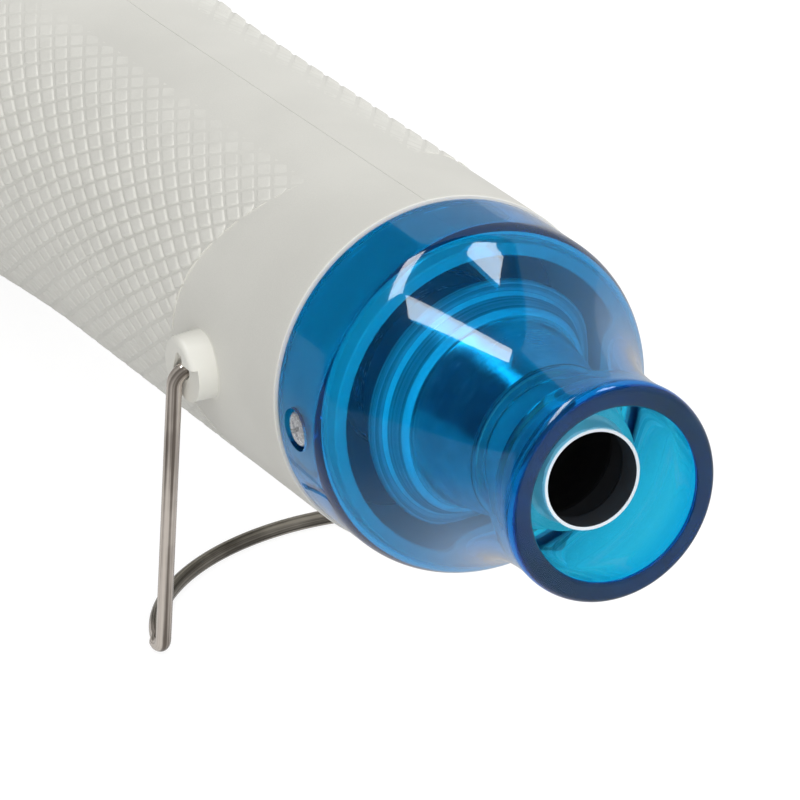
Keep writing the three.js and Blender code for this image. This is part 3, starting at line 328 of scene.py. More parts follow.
# Rocker switch: a black case with a bezel, snapped into the flat on top of the tail, and a red rocker
# on two pins. The on and off marks are white inlays in the rocker's two ends.
SWITCH_AT = -160.3
PAD_TOP = 26.5
SEAT_GAP = 0.3
CASE_LONG, CASE_WIDE, CASE_DEEP, CASE_CORNER = 19, 12, 14, 0.6
BEZEL_LONG, BEZEL_WIDE, BEZEL_TALL, BEZEL_CORNER = 22, 15, 1.6, 1.6
ROCKER_TILT = math.radians(11)
ROCKER_HALF = 7.0
ROCKER_RISE = 4.2
ROCKER_DIP = 2.0
ROCKER_WIDE = 8.8
ROCKER_BAY_CORNER = 0.4
PIN_RADIUS = 1.0
rocker_pivot = PAD_TOP - 1
rocker_keel = ROCKER_RISE * 0.85
bezel_low = PAD_TOP + SEAT_GAP
bezel_top = bezel_low + BEZEL_TALL
case_low = bezel_low - CASE_DEEP


def mesh_of(made):
    """Plain mesh, with its doubles merged and its faces turned outwards."""
    bmesh.ops.remove_doubles(made, verts=made.verts, dist=1e-5)
    bmesh.ops.recalc_face_normals(made, faces=made.faces)
    mesh = bpy.data.meshes.new("blank")
    made.to_mesh(mesh)
    made.free()
    return mesh


def stack(loops, wrap=False):
    """Skin over loops of points that follow each other, closed by caps or into a ring."""
    made = bmesh.new()
    rings = [[made.verts.new(p) for p in loop] for loop in loops]
    for low, high in zip(rings, rings[1:] + rings[:1] if wrap else rings[1:]):
        for i in range(len(low)):
            made.faces.new((low[i - 1], low[i], high[i], high[i - 1]))
    if not wrap:
        made.faces.new(rings[0][::-1])
        made.faces.new(rings[-1])
    return mesh_of(made)


def carved(mesh, *steps):
    """Mesh after boolean steps, each an operation with the mesh of its tool."""
    blank = placed("blank", mesh)
    tools = []
    for operation, tool in steps:
        tools.append(placed("tool", tool))
        change = blank.modifiers.new("carve", "BOOLEAN")
        change.operation, change.solver, change.object = operation, "EXACT", tools[-1]
    made = baked(blank)
    for thing in (blank, *tools):
        bpy.data.objects.remove(thing)
    return made


def together(*meshes):
    """One mesh of pieces that don't touch, with every face turned outwards."""
    made = bmesh.new()
    for mesh in meshes:
        made.from_mesh(mesh)
    return mesh_of(made)


def slab(outline, low, high):
    """Outline in the upright plane, made thick from one side position to another."""
    return stack([[(x, y, z) for x, z in outline] for y in sorted((low, high))])


def plate(along, length, width, corner, levels, steps=4):
    """Block with rounded upright edges about a place on the axis; levels are (height, inset)."""
    loops = []
    for height, inset in levels:
        half_x, half_y, round_off = length / 2 - inset, width / 2 - inset, max(corner - inset, 0.02)
        loop = []
        for quarter, (sx, sy) in enumerate(((1, 1), (-1, 1), (-1, -1), (1, -1))):
            for i in range(steps + 1):
                turn = (quarter + i / steps) * math.pi / 2
                x = sx * (half_x - round_off) + round_off * math.cos(turn)
                y = sy * (half_y - round_off) + round_off * math.sin(turn)
                loop.append((along + x, y, height))
        loops.append(loop)
    return stack(loops)


case_levels = [(case_low, 0.4), (case_low + 0.4, 0), (bezel_low + 0.5, 0)]
case = plate(SWITCH_AT, CASE_LONG, CASE_WIDE, CASE_CORNER, case_levels)
bezel_levels = [(bezel_low, 0), (bezel_top - 0.7, 0), (bezel_top - 0.2, 0.25), (bezel_top, 0.75)]
bezel = plate(SWITCH_AT, BEZEL_LONG, BEZEL_WIDE, BEZEL_CORNER, bezel_levels)
rocker_corner = math.hypot(ROCKER_HALF, ROCKER_RISE)
rocker_room = rocker_corner * math.cos(math.atan2(ROCKER_RISE, ROCKER_HALF) - ROCKER_TILT)
bay_levels = [(rocker_pivot - rocker_keel - SEAT_GAP, 0), (bezel_top - 0.5, 0)]
bay_levels += [(bezel_top + 0.1, -0.5), (bezel_top + 2, -0.5)]
bay_long, bay_wide = 2 * (rocker_room + SEAT_GAP), ROCKER_WIDE + 2 * SEAT_GAP
bay = plate(SWITCH_AT, bay_long, bay_wide, ROCKER_BAY_CORNER, bay_levels)
switch_case = carved(case, ("UNION", bezel), ("DIFFERENCE", bay))
keep("switch_case_moulding", switch_case, black_plastic, ["switch_case"])

to_rocker = Matrix.Translation((SWITCH_AT, 0, rocker_pivot)) @ Matrix.Rotation(-ROCKER_TILT, 4, "Y")


def rocker_top(x):
    """Height of the dished top at a distance from the pins."""
    share = x / ROCKER_HALF
    return ROCKER_RISE - ROCKER_DIP * (1 - share * share)


outline = [(-ROCKER_HALF, 0), (0, -rocker_keel), (ROCKER_HALF, 0)]
outline += [(x, rocker_top(x)) for x in (ROCKER_HALF * (1 - i / 12) for i in range(25))]
rocker = slab(outline, -ROCKER_WIDE / 2, ROCKER_WIDE / 2)
pins = bmesh.new()
bmesh.ops.create_cone(
    pins,
    cap_ends=True,
    segments=20,
    radius1=PIN_RADIUS,
    radius2=PIN_RADIUS,
    depth=(CASE_WIDE + ROCKER_WIDE) / 2,
    matrix=Matrix.Rotation(math.pi / 2, 4, "X"),
)
rocker = carved(rocker, ("UNION", mesh_of(pins)))
rocker.transform(to_rocker)
red_plastic = mottled("red_moulding", (paint(150, 24, 20), paint(172, 34, 28)), (0.25, 0.4), grain=0.3)
keep("rocker_moulding", rocker, red_plastic, ["switch_rocker"], "rocker")

mark_paint = mottled("mark_inlay", (paint(222, 221, 216), paint(236, 235, 231)), (0.4, 0.55))
MARK_LIFT, MARK_SUNK = 0.04, -0.1
ON_INNER, ON_OUTER = 3.9, 4.45
OFF_MIDDLE, OFF_INNER, OFF_OUTER = -4.2, 1.05, 1.55


def mark(name, places, wrap):
    """Thin inlay on the rocker's top, from rows of inner and outer points."""
    loops = []
    for inner, outer in places:
        corners = ((inner, MARK_SUNK), (inner, MARK_LIFT), (outer, MARK_LIFT), (outer, MARK_SUNK))
        loops.append([(x, y, rocker_top(x) + height) for (x, y), height in corners])
    mesh = stack(loops, wrap)
    mesh.transform(to_rocker)
    keep(name, mesh, mark_paint, body="rocker")


mark("rocker_on_mark", [((ON_INNER, y), (ON_OUTER, y)) for y in (-1.5, -0.5, 0.5, 1.5)], False)
off_ring = []
for i in range(36):
    cosine, sine = math.cos(2 * math.pi * i / 36), math.sin(2 * math.pi * i / 36)
    off_ring.append([(OFF_MIDDLE + r * cosine, r * sine) for r in (OFF_INNER, OFF_OUTER)])
mark("rocker_off_mark", off_ring, True)

# Inlet bush: soft black rubber, pressed into the hole in the middle of the tail and held by its two
# flanges. Its mouth is rounded so that a mains lead wouldn't chafe.
TAIL = -194.3
BUSH_BORE, BUSH_NECK, BUSH_FLANGE = 3.9, 5.6, 7.6
flange_end, neck_end, bush_end = TAIL + 2, TAIL + 4.8, TAIL + 6.8


def bend(start, corner, end, steps):
    """Points of a rounded corner, from where it leaves one side to where it meets the next."""
    points = []
    for i in range(steps + 1):
        t = i / steps
        u = 1 - t
        points.append([a * u * u + b * 2 * t * u + c * t * t for a, b, c in zip(start, corner, end)])
    return points


def eased(corners, steps=5):
    """Outline with rounded corners: each corner is a place along the axis, a radius and a rounding."""
    made = []
    for i, (x, y, size) in enumerate(corners):
        here = Vector((x, y))
        if size <= 0:
            made.append((x, y))
            continue
        ahead = corners[(i + 1) % len(corners)]
        start = here + (Vector(corners[i - 1][:2]) - here).normalized() * size
        end = here + (Vector(ahead[:2]) - here).normalized() * size
        made += bend(start, here, end, steps)
    return made


def turned(profile, sides=96):
    """Solid turned about the tool's axis from points along it and out from it."""
    turns = [2 * math.pi * i / sides for i in range(sides)]
    loops = [[(s, r * math.sin(t), r * math.cos(t)) for t in turns] for s, r in profile]
    return stack(loops, wrap=min(r for _, r in profile) > 0)


bush = eased(
    [
        (TAIL, BUSH_BORE, 0.9),
        (TAIL, BUSH_FLANGE, 0.5),
        (flange_end, BUSH_FLANGE, 0.2),
        (flange_end, BUSH_NECK, 0),
        (neck_end, BUSH_NECK, 0),
        (neck_end, BUSH_FLANGE, 0.3),
        (bush_end, BUSH_FLANGE, 0.9),
        (bush_end, BUSH_BORE, 0.3),
    ]
)
rubber = mottled("bush_rubber", (paint(20, 20, 20), paint(34, 34, 33)), (0.55, 0.75), grain=0.2)
keep("inlet_bush", turned(bush), rubber, ["cord_gland"])

# Body: two moulded halves of matte white plastic that meet along the top and bottom, with a spigot
# inside the shield, an ear for the stand on each side, cooling slots in the tail and screw posts.
# The mould's steel leaves a fine grain on it, and the ears are polished.
BODY = 25.9
TAIL_WIDE = 28.0
WALL = 2.2
LIP = 3.0
SPIGOT_OUT, SPIGOT_IN, SPIGOT_END = 23.2, 21.0, 10.4
NOSE_OUT, NOSE_IN, NOSE_END = 22.5, 20.7, 13.2
FLARE_START, FLARE_LENGTH = 85.0, 60.0
TAIL_ROUND = 7.0
INLET_OUT = 9.8
SEAM_GAP, SEAM_DEPTH, SEAM_WIDE = 0.01, 0.06, 0.12


def body_radius(s):
    """Outer radius of the body at a place along the axis."""
    share = min(max((-s - FLARE_START) / FLARE_LENGTH, 0), 1)
    return BODY + (TAIL_WIDE - BODY) * share * share * (3 - 2 * share)


flare = [-FLARE_START - FLARE_LENGTH * i / 24 for i in range(25)]
quarter = [math.pi / 2 * i / 12 for i in range(13)]
turn_at = TAIL + TAIL_ROUND + 0.1
turn_out = TAIL_WIDE - TAIL_ROUND - 0.12


def tail_round(size):
    """Quarter round at the tail's edge, of the given radius."""
    return [(turn_at - size * math.sin(a), turn_out + size * math.cos(a)) for a in quarter]


straight = [-1.2, -4, -10, -18.5] + [-28 - 8 * i for i in range(7)]
skin = eased([(0.3, SPIGOT_OUT, 0), (0, BODY, 0.2), (-1.2, BODY, 0)])[1:]
skin = [(0, SPIGOT_OUT)] + skin[:-1] + [(s, BODY) for s in straight]
skin += [(s, body_radius(s)) for s in flare] + [(s, TAIL_WIDE) for s in (-156, -166)]
skin += tail_round(TAIL_ROUND)
flange_room, neck_room = BUSH_FLANGE + SEAT_GAP, BUSH_NECK + SEAT_GAP
inlet = [(TAIL, flange_room + 0.2), (TAIL + 0.2, flange_room), (flange_end + SEAT_GAP, flange_room)]
inlet += [(flange_end + SEAT_GAP, neck_room), (neck_end - SEAT_GAP, neck_room)]
inlet += [(neck_end - SEAT_GAP, INLET_OUT), (TAIL + WALL, INLET_OUT)]
lining = tail_round(TAIL_ROUND - WALL)[::-1]
lining += [(s, body_radius(s) - WALL) for s in flare[::-1]] + [(-LIP, BODY - WALL), (-LIP, SPIGOT_IN)]
lining += [(SPIGOT_END - 0.3, SPIGOT_IN), (SPIGOT_END, NOSE_IN), (NOSE_END - 0.15, NOSE_IN)]
lining += [(NOSE_END, NOSE_IN + 0.15), (NOSE_END, NOSE_OUT - 0.2), (NOSE_END - 0.2, NOSE_OUT)]
lining += [(SPIGOT_END, NOSE_OUT), (SPIGOT_END, SPIGOT_OUT - 0.3), (SPIGOT_END - 0.3, SPIGOT_OUT)]
section = skin + inlet + lining
seam_steps = [0, 0.05, 0.1, 0.16, 0.3]
sweep = [d / BODY for d in seam_steps] + [math.radians(3 * i) for i in range(1, 60)]
sweep += [math.pi - d / BODY for d in seam_steps[::-1]]


def half_shell(side):
    """One half of the body, with a shallow groove along the edges where the halves meet."""
    loops = []
    for turn in sweep:
        loop = []
        for i, (s, r) in enumerate(section):
            from_seam = r * math.sin(turn)
            dip = SEAM_DEPTH * max(0, 1 - from_seam / SEAM_WIDE) if i < len(skin) else 0
            y = max((r - dip) * math.sin(turn), SEAM_GAP)
            loop.append((s, side * y, (r - dip) * math.cos(turn)))
        loops.append(loop)
    return stack(loops)


def across_tool(mesh, s, side, z=0.0):
    """Turns a piece made about the tool's axis to lie across it, pointing to a side."""
    mesh.transform(Matrix.Translation((s, 0, z)) @ Matrix.Rotation(side * math.pi / 2, 4, "Z"))
    return mesh


def bar(low, high, radius, sides=48):
    """Round bar along the axis."""
    return turned([(low, 0), (low, radius), (high, radius), (high, 0)], sides)


EAR_ROOT, EAR_FACE, EAR_WIDE, EAR_TIP = 20.5, 29.7, 5.3, 4.85
POCKET_FLOOR, POCKET_REACH, POCKET_CORNER = 28.75, 14.0, 2.2
LEG_LEAN = math.radians(16.7)
FOLD = math.radians(105)
PIN_ROOM = 1.45
NOTCH_NEAR, NOTCH_FAR, NOTCH_BACK = 1.6, 2.1, 1.2
NOTCH_ROOM, NOTCH_ROUND = 1.15, 0.95


def leg_pocket():
    """Outline of the pocket in an ear's face, from the leg at rest to the leg folded forward."""
    rest = math.radians(270) - LEG_LEAN
    folded = rest + FOLD
    notch = rest + math.pi
    behind, above = rest - math.pi / 2, folded + math.pi / 2

    def beside(turn, aside, distance, room=PIN_ROOM):
        x = distance * math.cos(turn) + room * math.cos(aside)
        return x, distance * math.sin(turn) + room * math.sin(aside)

    points = [beside(rest, behind, 0), beside(rest, behind, POCKET_REACH)]
    points += [beside(rest + FOLD * i / 8, 0, POCKET_REACH, 0) for i in range(9)]
    points += [beside(folded, above, POCKET_REACH), beside(folded, above, POCKET_CORNER)]
    points += [beside(notch, notch - math.pi / 2, NOTCH_NEAR, NOTCH_ROOM)]
    points += [beside(notch, notch + math.pi * (i / 8 - 0.5), NOTCH_FAR, NOTCH_ROUND) for i in range(1, 8)]
    points += [beside(notch, notch + math.pi / 2, NOTCH_BACK, NOTCH_ROOM)]
    return [(x - EAR_SETBACK, z) for x, z in points]


VENT_LONG, VENT_WIDE, VENT_CUT = 14, 2.6, (22.5, 31)
VENT_TURNS = [math.radians(26 * (i - 1.5)) for i in range(4)]


def vent_slot(side, turn):
    """Cooling slot, long side along the axis, cut straight in towards it."""
    run, half = (VENT_LONG - VENT_WIDE) / 2, VENT_WIDE / 2
    ends = [(run, -90)] * 9 + [(-run, 90)] * 9
    loop = []
    for i, (x, start) in enumerate(ends):
        a = math.radians(start + 180 * (i % 9) / 8)
        loop.append((x + half * math.cos(a), half * math.sin(a)))
    middle = TAIL + TAIL_ROUND + VENT_LONG / 2
    mesh = stack([[(middle + x, y, out) for x, y in loop] for out in VENT_CUT])
    mesh.transform(Matrix.Rotation(-side * math.pi / 2 - side * turn, 4, "X"))
    return mesh


OUTSIDE = 34
POST, POST_INSET, POST_PAST, POST_MARGIN = 3.3, 0.6, 2, 0.7
WELL, HEAD_SINK = 2.8, 3.0
SHANK_HOLE, PILOT_DEEP = 1.5, 16.3
BOSSES = [(-52.2, -18.9), (-134.3, 20.8), (-134.3, -20.8), (SWITCH_AT, -21.0)]
head_seats = [math.sqrt(body_radius(s) ** 2 - z * z) - HEAD_SINK for s, z in BOSSES]
SHIELD_SCREW_AT = 5.4
PIN_END, PIN_HOLE, PIN_FLARE, FLARE_AT = 24.3, 1.3, 1.65, 28.2
ear = eased([(EAR_ROOT, 0, 0), (EAR_ROOT, EAR_WIDE, 0), (EAR_FACE, EAR_TIP, 1.0), (EAR_FACE, 0, 0)], 8)
pin_hole = [(PIN_END, 0), (PIN_END, PIN_HOLE), (FLARE_AT, PIN_HOLE), (POCKET_FLOOR + 0.01, PIN_FLARE)]
pin_hole += [(POCKET_FLOOR + 0.4, PIN_FLARE), (POCKET_FLOOR + 0.4, 0)]
CUT_CORNER, CUT_FIT = 0.3, 2 * SEAT_GAP
PAD_CUT, CASE_CUT = 6, 9
pad_cut = [(PAD_TOP, 0), (PAD_TOP + PAD_CUT, 0)]
case_cut = [(PAD_TOP - CASE_CUT, 0), (PAD_TOP + 1, 0)]

white_body, place, shader = new_finish("white_moulding")
along, across, height = place.split()
grain = place.noise(5.5, 2.0)
cloud = place.noise(0.05, 3.0)
level = place.point(X=along + EAR_SETBACK, Z=height)
from_ear = level.node("ShaderNodeVectorMath", {0: level}, "Value", operation="LENGTH")
out_side = across.maths("ABSOLUTE")
on_ear = from_ear.ease(EAR_WIDE + 0.3, EAR_WIDE - 0.1) * out_side.ease(BODY - 0.7, BODY - 0.3)
tone = (cloud * 0.55 + grain * 0.45).ease(0.35, 0.65)
plain = tone.blend(paint(211, 210, 203), paint(218, 217, 210))
place.feed(
    shader,
    Base_Color=on_ear.blend(plain, paint(223, 222, 214)),
    Roughness=(1 - on_ear) * grain.ease(0.3, 0.7, 0.1, 0.2) + 0.36,
    Normal=((1 - on_ear) * grain).bump(0.02),
)

for side, hand in ((-1, "right"), (1, "left")):
    shell = half_shell(side)
    steps = [("UNION", across_tool(turned(ear, 64), -EAR_SETBACK, side))]
    cuts = [
        together(*[vent_slot(side, turn) for turn in VENT_TURNS]),
        across_tool(bar(SPIGOT_IN - 3, SPIGOT_OUT + 3, SHANK_HOLE), SHIELD_SCREW_AT, side),
        plate(SWITCH_AT, BEZEL_LONG + CUT_FIT, BEZEL_WIDE + CUT_FIT, CUT_CORNER, pad_cut),
        plate(SWITCH_AT, CASE_LONG + CUT_FIT, CASE_WIDE + CUT_FIT, CUT_CORNER, case_cut),
        slab(leg_pocket(), side * POCKET_FLOOR, side * OUTSIDE),
        across_tool(turned(pin_hole, 40), -EAR_SETBACK, side),
    ]
    if hand == "left":
        for (s, z), seat in zip(BOSSES, head_seats):
            post = across_tool(bar(SEAT_GAP, seat + HEAD_SINK + POST_PAST, POST), s, side, z)
            reach = POST + POST_MARGIN
            room = bar(s - reach, s + reach, body_radius(s) - POST_INSET, sides=96)
            steps.append(("UNION", carved(post, ("INTERSECT", room))))
            cuts.append(across_tool(bar(seat, OUTSIDE, WELL), s, side, z))
            cuts.append(across_tool(bar(seat - PILOT_DEEP, seat + 0.5, SHANK_HOLE, sides=24), s, side, z))
    steps += [("DIFFERENCE", cut) for cut in cuts]
    shell = carved(shell, *steps)
    keep("body_half_" + hand, shell, white_body, ["housing_" + hand], crease=24)

# Diamond grip: flat-topped raised lozenges moulded on the body, in staggered rows. They stop at a
# curved line behind the smooth collar and run out to nothing towards the seams.
DIAMOND_LONG, DIAMONDS_ROUND = 5.3, 52
DIAMOND_STEPS = ((0.86, 0.0), (0.78, 0.55), (0.70, 0.92), (0.61, 1.0))
CORNER_CUT = 0.08
GRIP_RELIEF, SUNK = 0.37, 0.03
FIRST_ROW, GRIP_ROWS = -16.65, 58
GRIP_FRONT, FRONT_BOW = -18.5, 14.2
GRIP_REAR, REAR_BOW = -149.0, 10.0
SEAM_BAND = math.radians(12)
WELL_CLEAR = 5.2
FADE_START, FADE_END, FADE_CURVE = math.radians(2), math.radians(70), 1.5
LOW_START, LOW_END, LOW_SHARE = math.radians(52), math.radians(108), 0.3
cell = 2 * math.pi / DIAMONDS_ROUND
diamond_wide = cell * BODY


def diamond():
    """One lozenge with eased corners, its height from 0 at the sunk foot to 1 at the flat top."""
    corners = [Vector((DIAMOND_LONG / 2, 0)), Vector((0, diamond_wide / 2))]
    corners += [-c for c in corners]
    loops = []
    for share, height in DIAMOND_STEPS:
        loop = []
        for i, corner in enumerate(corners):
            for other in (corners[i - 1], corners[(i + 1) % 4]):
                p = (corner * (1 - CORNER_CUT) + other * CORNER_CUT) * share
                loop.append((p.x, p.y, height))
        loops.append(loop)
    return stack(loops)


def bowed(angle, top, bow):
    """End line of the pattern: its place on top, and how far it bows back at the sides."""
    sine = angle.maths("SINE")
    return top - sine * sine * bow


def diamond_grip(given):
    """Lozenges on a staggered lattice, laid flat, then bent round the body."""
    side = given["Side"]
    index = side.node("GeometryNodeInputIndex")
    columns = given["Columns"]
    row = (index / columns).maths("FLOOR")
    odd = row.maths("MODULO", 2.0)
    half = given["Long"] / 2
    s = given["Front"] - row * half
    turn = (index - row * columns + odd * 0.5) * given["Cell"]
    wanted = (s - half) < bowed(turn, GRIP_FRONT, FRONT_BOW)
    wanted = wanted * ((s + half) > bowed(turn, GRIP_REAR, REAR_BOW))
    wanted = wanted * (turn.maths("MINIMUM", math.pi - turn) > SEAM_BAND)
    for well, z in BOSSES[:3]:
        around = (turn - math.acos(z / body_radius(well))) * BODY
        gap = (s - well) * (s - well) + around * around
        wanted = wanted * (1 - (gap < WELL_CLEAR**2) * (side > 0.0))
    points = s.node("GeometryNodePoints", {"Count": given["Rows"] * columns})
    flat = s.point(X=s, Y=turn * BODY)
    laid = s.node("GeometryNodeSetPosition", {"Geometry": points, "Position": flat})
    spare = {"Geometry": laid, "Selection": 1 - wanted}
    chosen = s.node("GeometryNodeDeleteGeometry", spare, domain="POINT")
    tiles = s.node("GeometryNodeInstanceOnPoints", {"Points": chosen, "Instance": given["Source"]})
    real = s.node("GeometryNodeRealizeInstances", {"Geometry": tiles})
    x, y, z = real.node("GeometryNodeInputPosition").split()
    angle = y / BODY
    clipped = x.maths("MINIMUM", bowed(angle, GRIP_FRONT, FRONT_BOW))
    clipped = clipped.maths("MAXIMUM", bowed(angle, GRIP_REAR, REAR_BOW))
    rise = angle.maths("MINIMUM", math.pi - angle).ease(FADE_START, FADE_END)
    fade = rise.maths("POWER", FADE_CURVE) * angle.ease(LOW_START, LOW_END, 1, LOW_SHARE)
    lift = z * fade * (given["Relief"] + SUNK) - SUNK
    swell = clipped.ease(-FLARE_START, -FLARE_START - FLARE_LENGTH, BODY, TAIL_WIDE)
    out = swell + lift
    bent = x.point(X=clipped, Y=out * angle.maths("SINE") * side, Z=out * angle.maths("COSINE"))
    return x.node("GeometryNodeSetPosition", {"Geometry": real, "Position": bent})


grip_skin = mottled("grip_moulding", (paint(215, 214, 207), paint(223, 222, 215)), (0.46, 0.58), grain=0.25)
for side, hand in ((-1.0, "right"), (1.0, "left")):
    grip_sizes = {
        "Side": side,
        "Front": FIRST_ROW,
        "Long": DIAMOND_LONG,
        "Cell": cell,
        "Relief": GRIP_RELIEF,
        "Rows": GRIP_ROWS,
        "Columns": DIAMONDS_ROUND // 2,
    }
    tiles = grown("diamond_grip_" + hand, grip_sizes, grip_skin, diamond_grip, diamond())
    keep("diamond_grip_" + hand, together(tiles), grip_skin, crease=75)

# Screws: zinc-plated steel with low round heads and cross recesses. Four close the body from the
# left, in wells, and two fix the shield to the spigot through counterbores in its flange.
HEAD, HEAD_TALL, HEAD_EDGE, HEAD_FLAT, SHANK = 2.5, 1.0, 0.4, 0.35, 1.2
CROSS_STEPS = ((0.25, 0.5, 0.22), (HEAD_TALL - 0.05, 1.45, 0.33), (HEAD_TALL + 0.4, 1.5, 0.33))
SQUARE = ((-1, -1), (1, -1), (1, 1), (-1, 1))
HOUSING_SCREW_LONG, SHIELD_SCREW_LONG = 16, 4.2
SINK_FLOOR, SINK = 24.1, 3.1
FIRST_SPIN, SPIN_STEP = 0.5, 0.9


def screw_blank(length):
    """Screw along the axis, its head's seat at the origin and its head forward."""
    profile = [(-length, 0), (-length, SHANK * 0.5), (-length + SHANK, SHANK), (0, SHANK), (0, HEAD - 0.1)]
    profile += [(0.1, HEAD), (HEAD_EDGE, HEAD)]
    for a in quarter[1:-1:2]:
        rise = (HEAD_TALL - HEAD_EDGE) * math.sin(a)
        profile.append((HEAD_EDGE + rise, HEAD * (HEAD_FLAT + (1 - HEAD_FLAT) * math.cos(a))))
    profile += [(HEAD_TALL, HEAD * 0.3), (HEAD_TALL, 0)]
    arms = []
    for turn in (0, math.pi / 2):
        arm = stack([[(depth, x * w, z * t) for x, z in SQUARE] for depth, w, t in CROSS_STEPS])
        arm.transform(Matrix.Rotation(turn, 4, "X"))
        arms.append(arm)
    return carved(turned(profile, 40), ("DIFFERENCE", arms[0]), ("DIFFERENCE", arms[1]))


def screw_set(given):
    """A copy of the screw at each point, pointing to the side its turn gives."""
    turn = given["Source"].node("GeometryNodeInputNamedAttribute", {"Name": "turn"}, data_type="FLOAT")
    spin = turn.node("GeometryNodeInputNamedAttribute", {"Name": "spin"}, data_type="FLOAT")
    blank = turn.node("GeometryNodeObjectInfo", {"Object": screw_tool}, out="Geometry")
    angles = turn.point(X=spin, Z=turn * given["Quarter"])
    copies = {"Points": given["Source"], "Instance": blank, "Rotation": angles}
    return turn.node("GeometryNodeInstanceOnPoints", copies)


zinc = mottled("zinc_plate", (paint(196, 198, 202), paint(226, 228, 231)), (0.18, 0.34), Metallic=0.6)
shield_seat = SINK_FLOOR + SEAT_GAP
screw_groups = [
    (
        "housing_screws",
        HOUSING_SCREW_LONG,
        [(s, seat + SEAT_GAP, z, 1.0) for (s, z), seat in zip(BOSSES, head_seats)],
        ["housing_screw_%d" % n for n in (1, 2, 3, 4)],
    ),
    (
        "shield_screws",
        SHIELD_SCREW_LONG,
        [(SHIELD_SCREW_AT, side * shield_seat, 0, side) for side in (-1.0, 1.0)],
        ["shield_screw_right", "shield_screw_left"],
    ),
]
for name, length, places, nodes in screw_groups:
    screw_tool = placed("screw_tool", screw_blank(length))
    spots = bpy.data.meshes.new("screw_spots")
    spots.from_pydata([p[:3] for p in places], [], [])
    turns, spins = (spots.attributes.new(label, "FLOAT", "POINT") for label in ("turn", "spin"))
    for i, p in enumerate(places):
        turns.data[i].value = p[3]
        spins.data[i].value = FIRST_SPIN + SPIN_STEP * i
    mesh = grown(name, {"Quarter": math.pi / 2}, zinc, screw_set, spots)
    bpy.data.objects.remove(screw_tool)
    keep(name, mesh, zinc, nodes)

# Nozzle: thin drawn steel, pushed over the heater tube, with a collar and a shoulder at its base, a
# long tapered barrel and two steps down to the mouth. It is black with heat inside. Its cut edge and two
# thin arcs on the collar are painted near-white: painted highlights.
STEEL = 0.5
SKIRT, SKIRT_REAR = 14.2, 5.4
COLLAR, COLLAR_REAR, COLLAR_FRONT = 17.6, 13.4, 15.2
TAPER_REAR, TAPER_FRONT, TAPER_END = 15.9, 14.5, 19.4
BARREL, BARREL_END, BARREL_SLOPE, BARREL_MIDDLE = 11.26, 33.7, 0.15, 16.3
STEP, STEP_END = 9.28, 39.8
TUBE, TUBE_START, TUBE_END = 7.3, 40.8, 44.7
nozzle_steps = [(TAPER_END, SKIRT - 0.6, 0.4), (BARREL_END, BARREL, 0.7), (BARREL_END, STEP, 0.5)]
nozzle_steps += [(STEP_END, STEP, 0.5), (TUBE_START, TUBE, 0.5)]
nozzle = [(SKIRT_REAR, SKIRT, 0), (COLLAR_REAR, SKIRT, 0.3)]
nozzle += [(COLLAR_REAR, COLLAR, 0.5), (COLLAR_FRONT, COLLAR, 0.9)]
nozzle += [(COLLAR_FRONT, TAPER_REAR + 0.2, 0.15), (COLLAR_FRONT + 0.7, TAPER_REAR, 0.5)]
nozzle += [(TAPER_END - 0.1, TAPER_FRONT, 0.5)]
nozzle += nozzle_steps + [(TUBE_END, TUBE, 0.12), (TUBE_END, TUBE - STEEL, 0.12)]
nozzle += [(s - STEEL, r - STEEL, e) for s, r, e in nozzle_steps[::-1]] + [(SKIRT_REAR, SKIRT - STEEL, 0)]
nozzle_mesh = turned(eased(nozzle), 160)


def wall_middle(s):
    """Radius between the outer and inner faces of the steel at a place along the axis."""
    if s > STEP_END + 0.1:
        return TUBE - 0.35
    if s > BARREL_END - 0.4:
        return STEP - 0.38
    return BARREL_MIDDLE - s * BARREL_SLOPE


inside = nozzle_mesh.attributes.new("inside", "FLOAT", "POINT")
for v in nozzle_mesh.vertices:
    burnt = math.hypot(v.co.y, v.co.z) < wall_middle(v.co.x) and v.co.x < TUBE_END - 0.08
    inside.data[v.index].value = 1.0 if burnt else 0.0

nozzle_steel, place, shader = new_finish("nozzle_steel")
along, _, _ = place.split()
rings = lathe_rings(place, 4.0)
smudge = place.noise(0.18, 3.0)
burnt = place.node("ShaderNodeAttribute", out="Fac", attribute_name="inside")
clean = smudge.ease(0.3, 0.7).blend(paint(204, 205, 207), paint(228, 229, 231))
collar = along.ease(TAPER_END, TAPER_END - 0.05)
step = along.ease(BARREL_END + 0.1, BARREL_END + 0.4) * along.ease(STEP_END - 0.5, STEP_END - 0.8)
front_tube = along.ease(TUBE_START - 0.4, TUBE_START - 0.1)
# The mouth's cut edge is painted near-white, with a wobbling boundary: a painted highlight.
rim_highlight_wobble = place.noise(1.6, 2.0)
rim_painted_highlight = (along + rim_highlight_wobble * 0.9).ease(TUBE_END - 0.3, TUBE_END - 0.15)
# Thin near-white bands at the collar's rounded edge and where the taper meets the barrel: painted
# highlights.
collar_painted_highlights = along.ease(COLLAR_FRONT, COLLAR_FRONT + 0.06) * along.ease(COLLAR_FRONT + 1, COLLAR_FRONT + 0.9)
collar_painted_highlights = collar_painted_highlights + along.ease(TAPER_END - 0.9, TAPER_END - 0.8) * collar
dull = collar * 0.65 + collar_painted_highlights * 0.35 + step * 0.7 + front_tube * 0.35 + rim_painted_highlight * 0.35
brushed = rings.ease(0.35, 0.65).blend(paint(136, 137, 140), paint(210, 211, 213))
clean = collar.blend(clean, brushed)
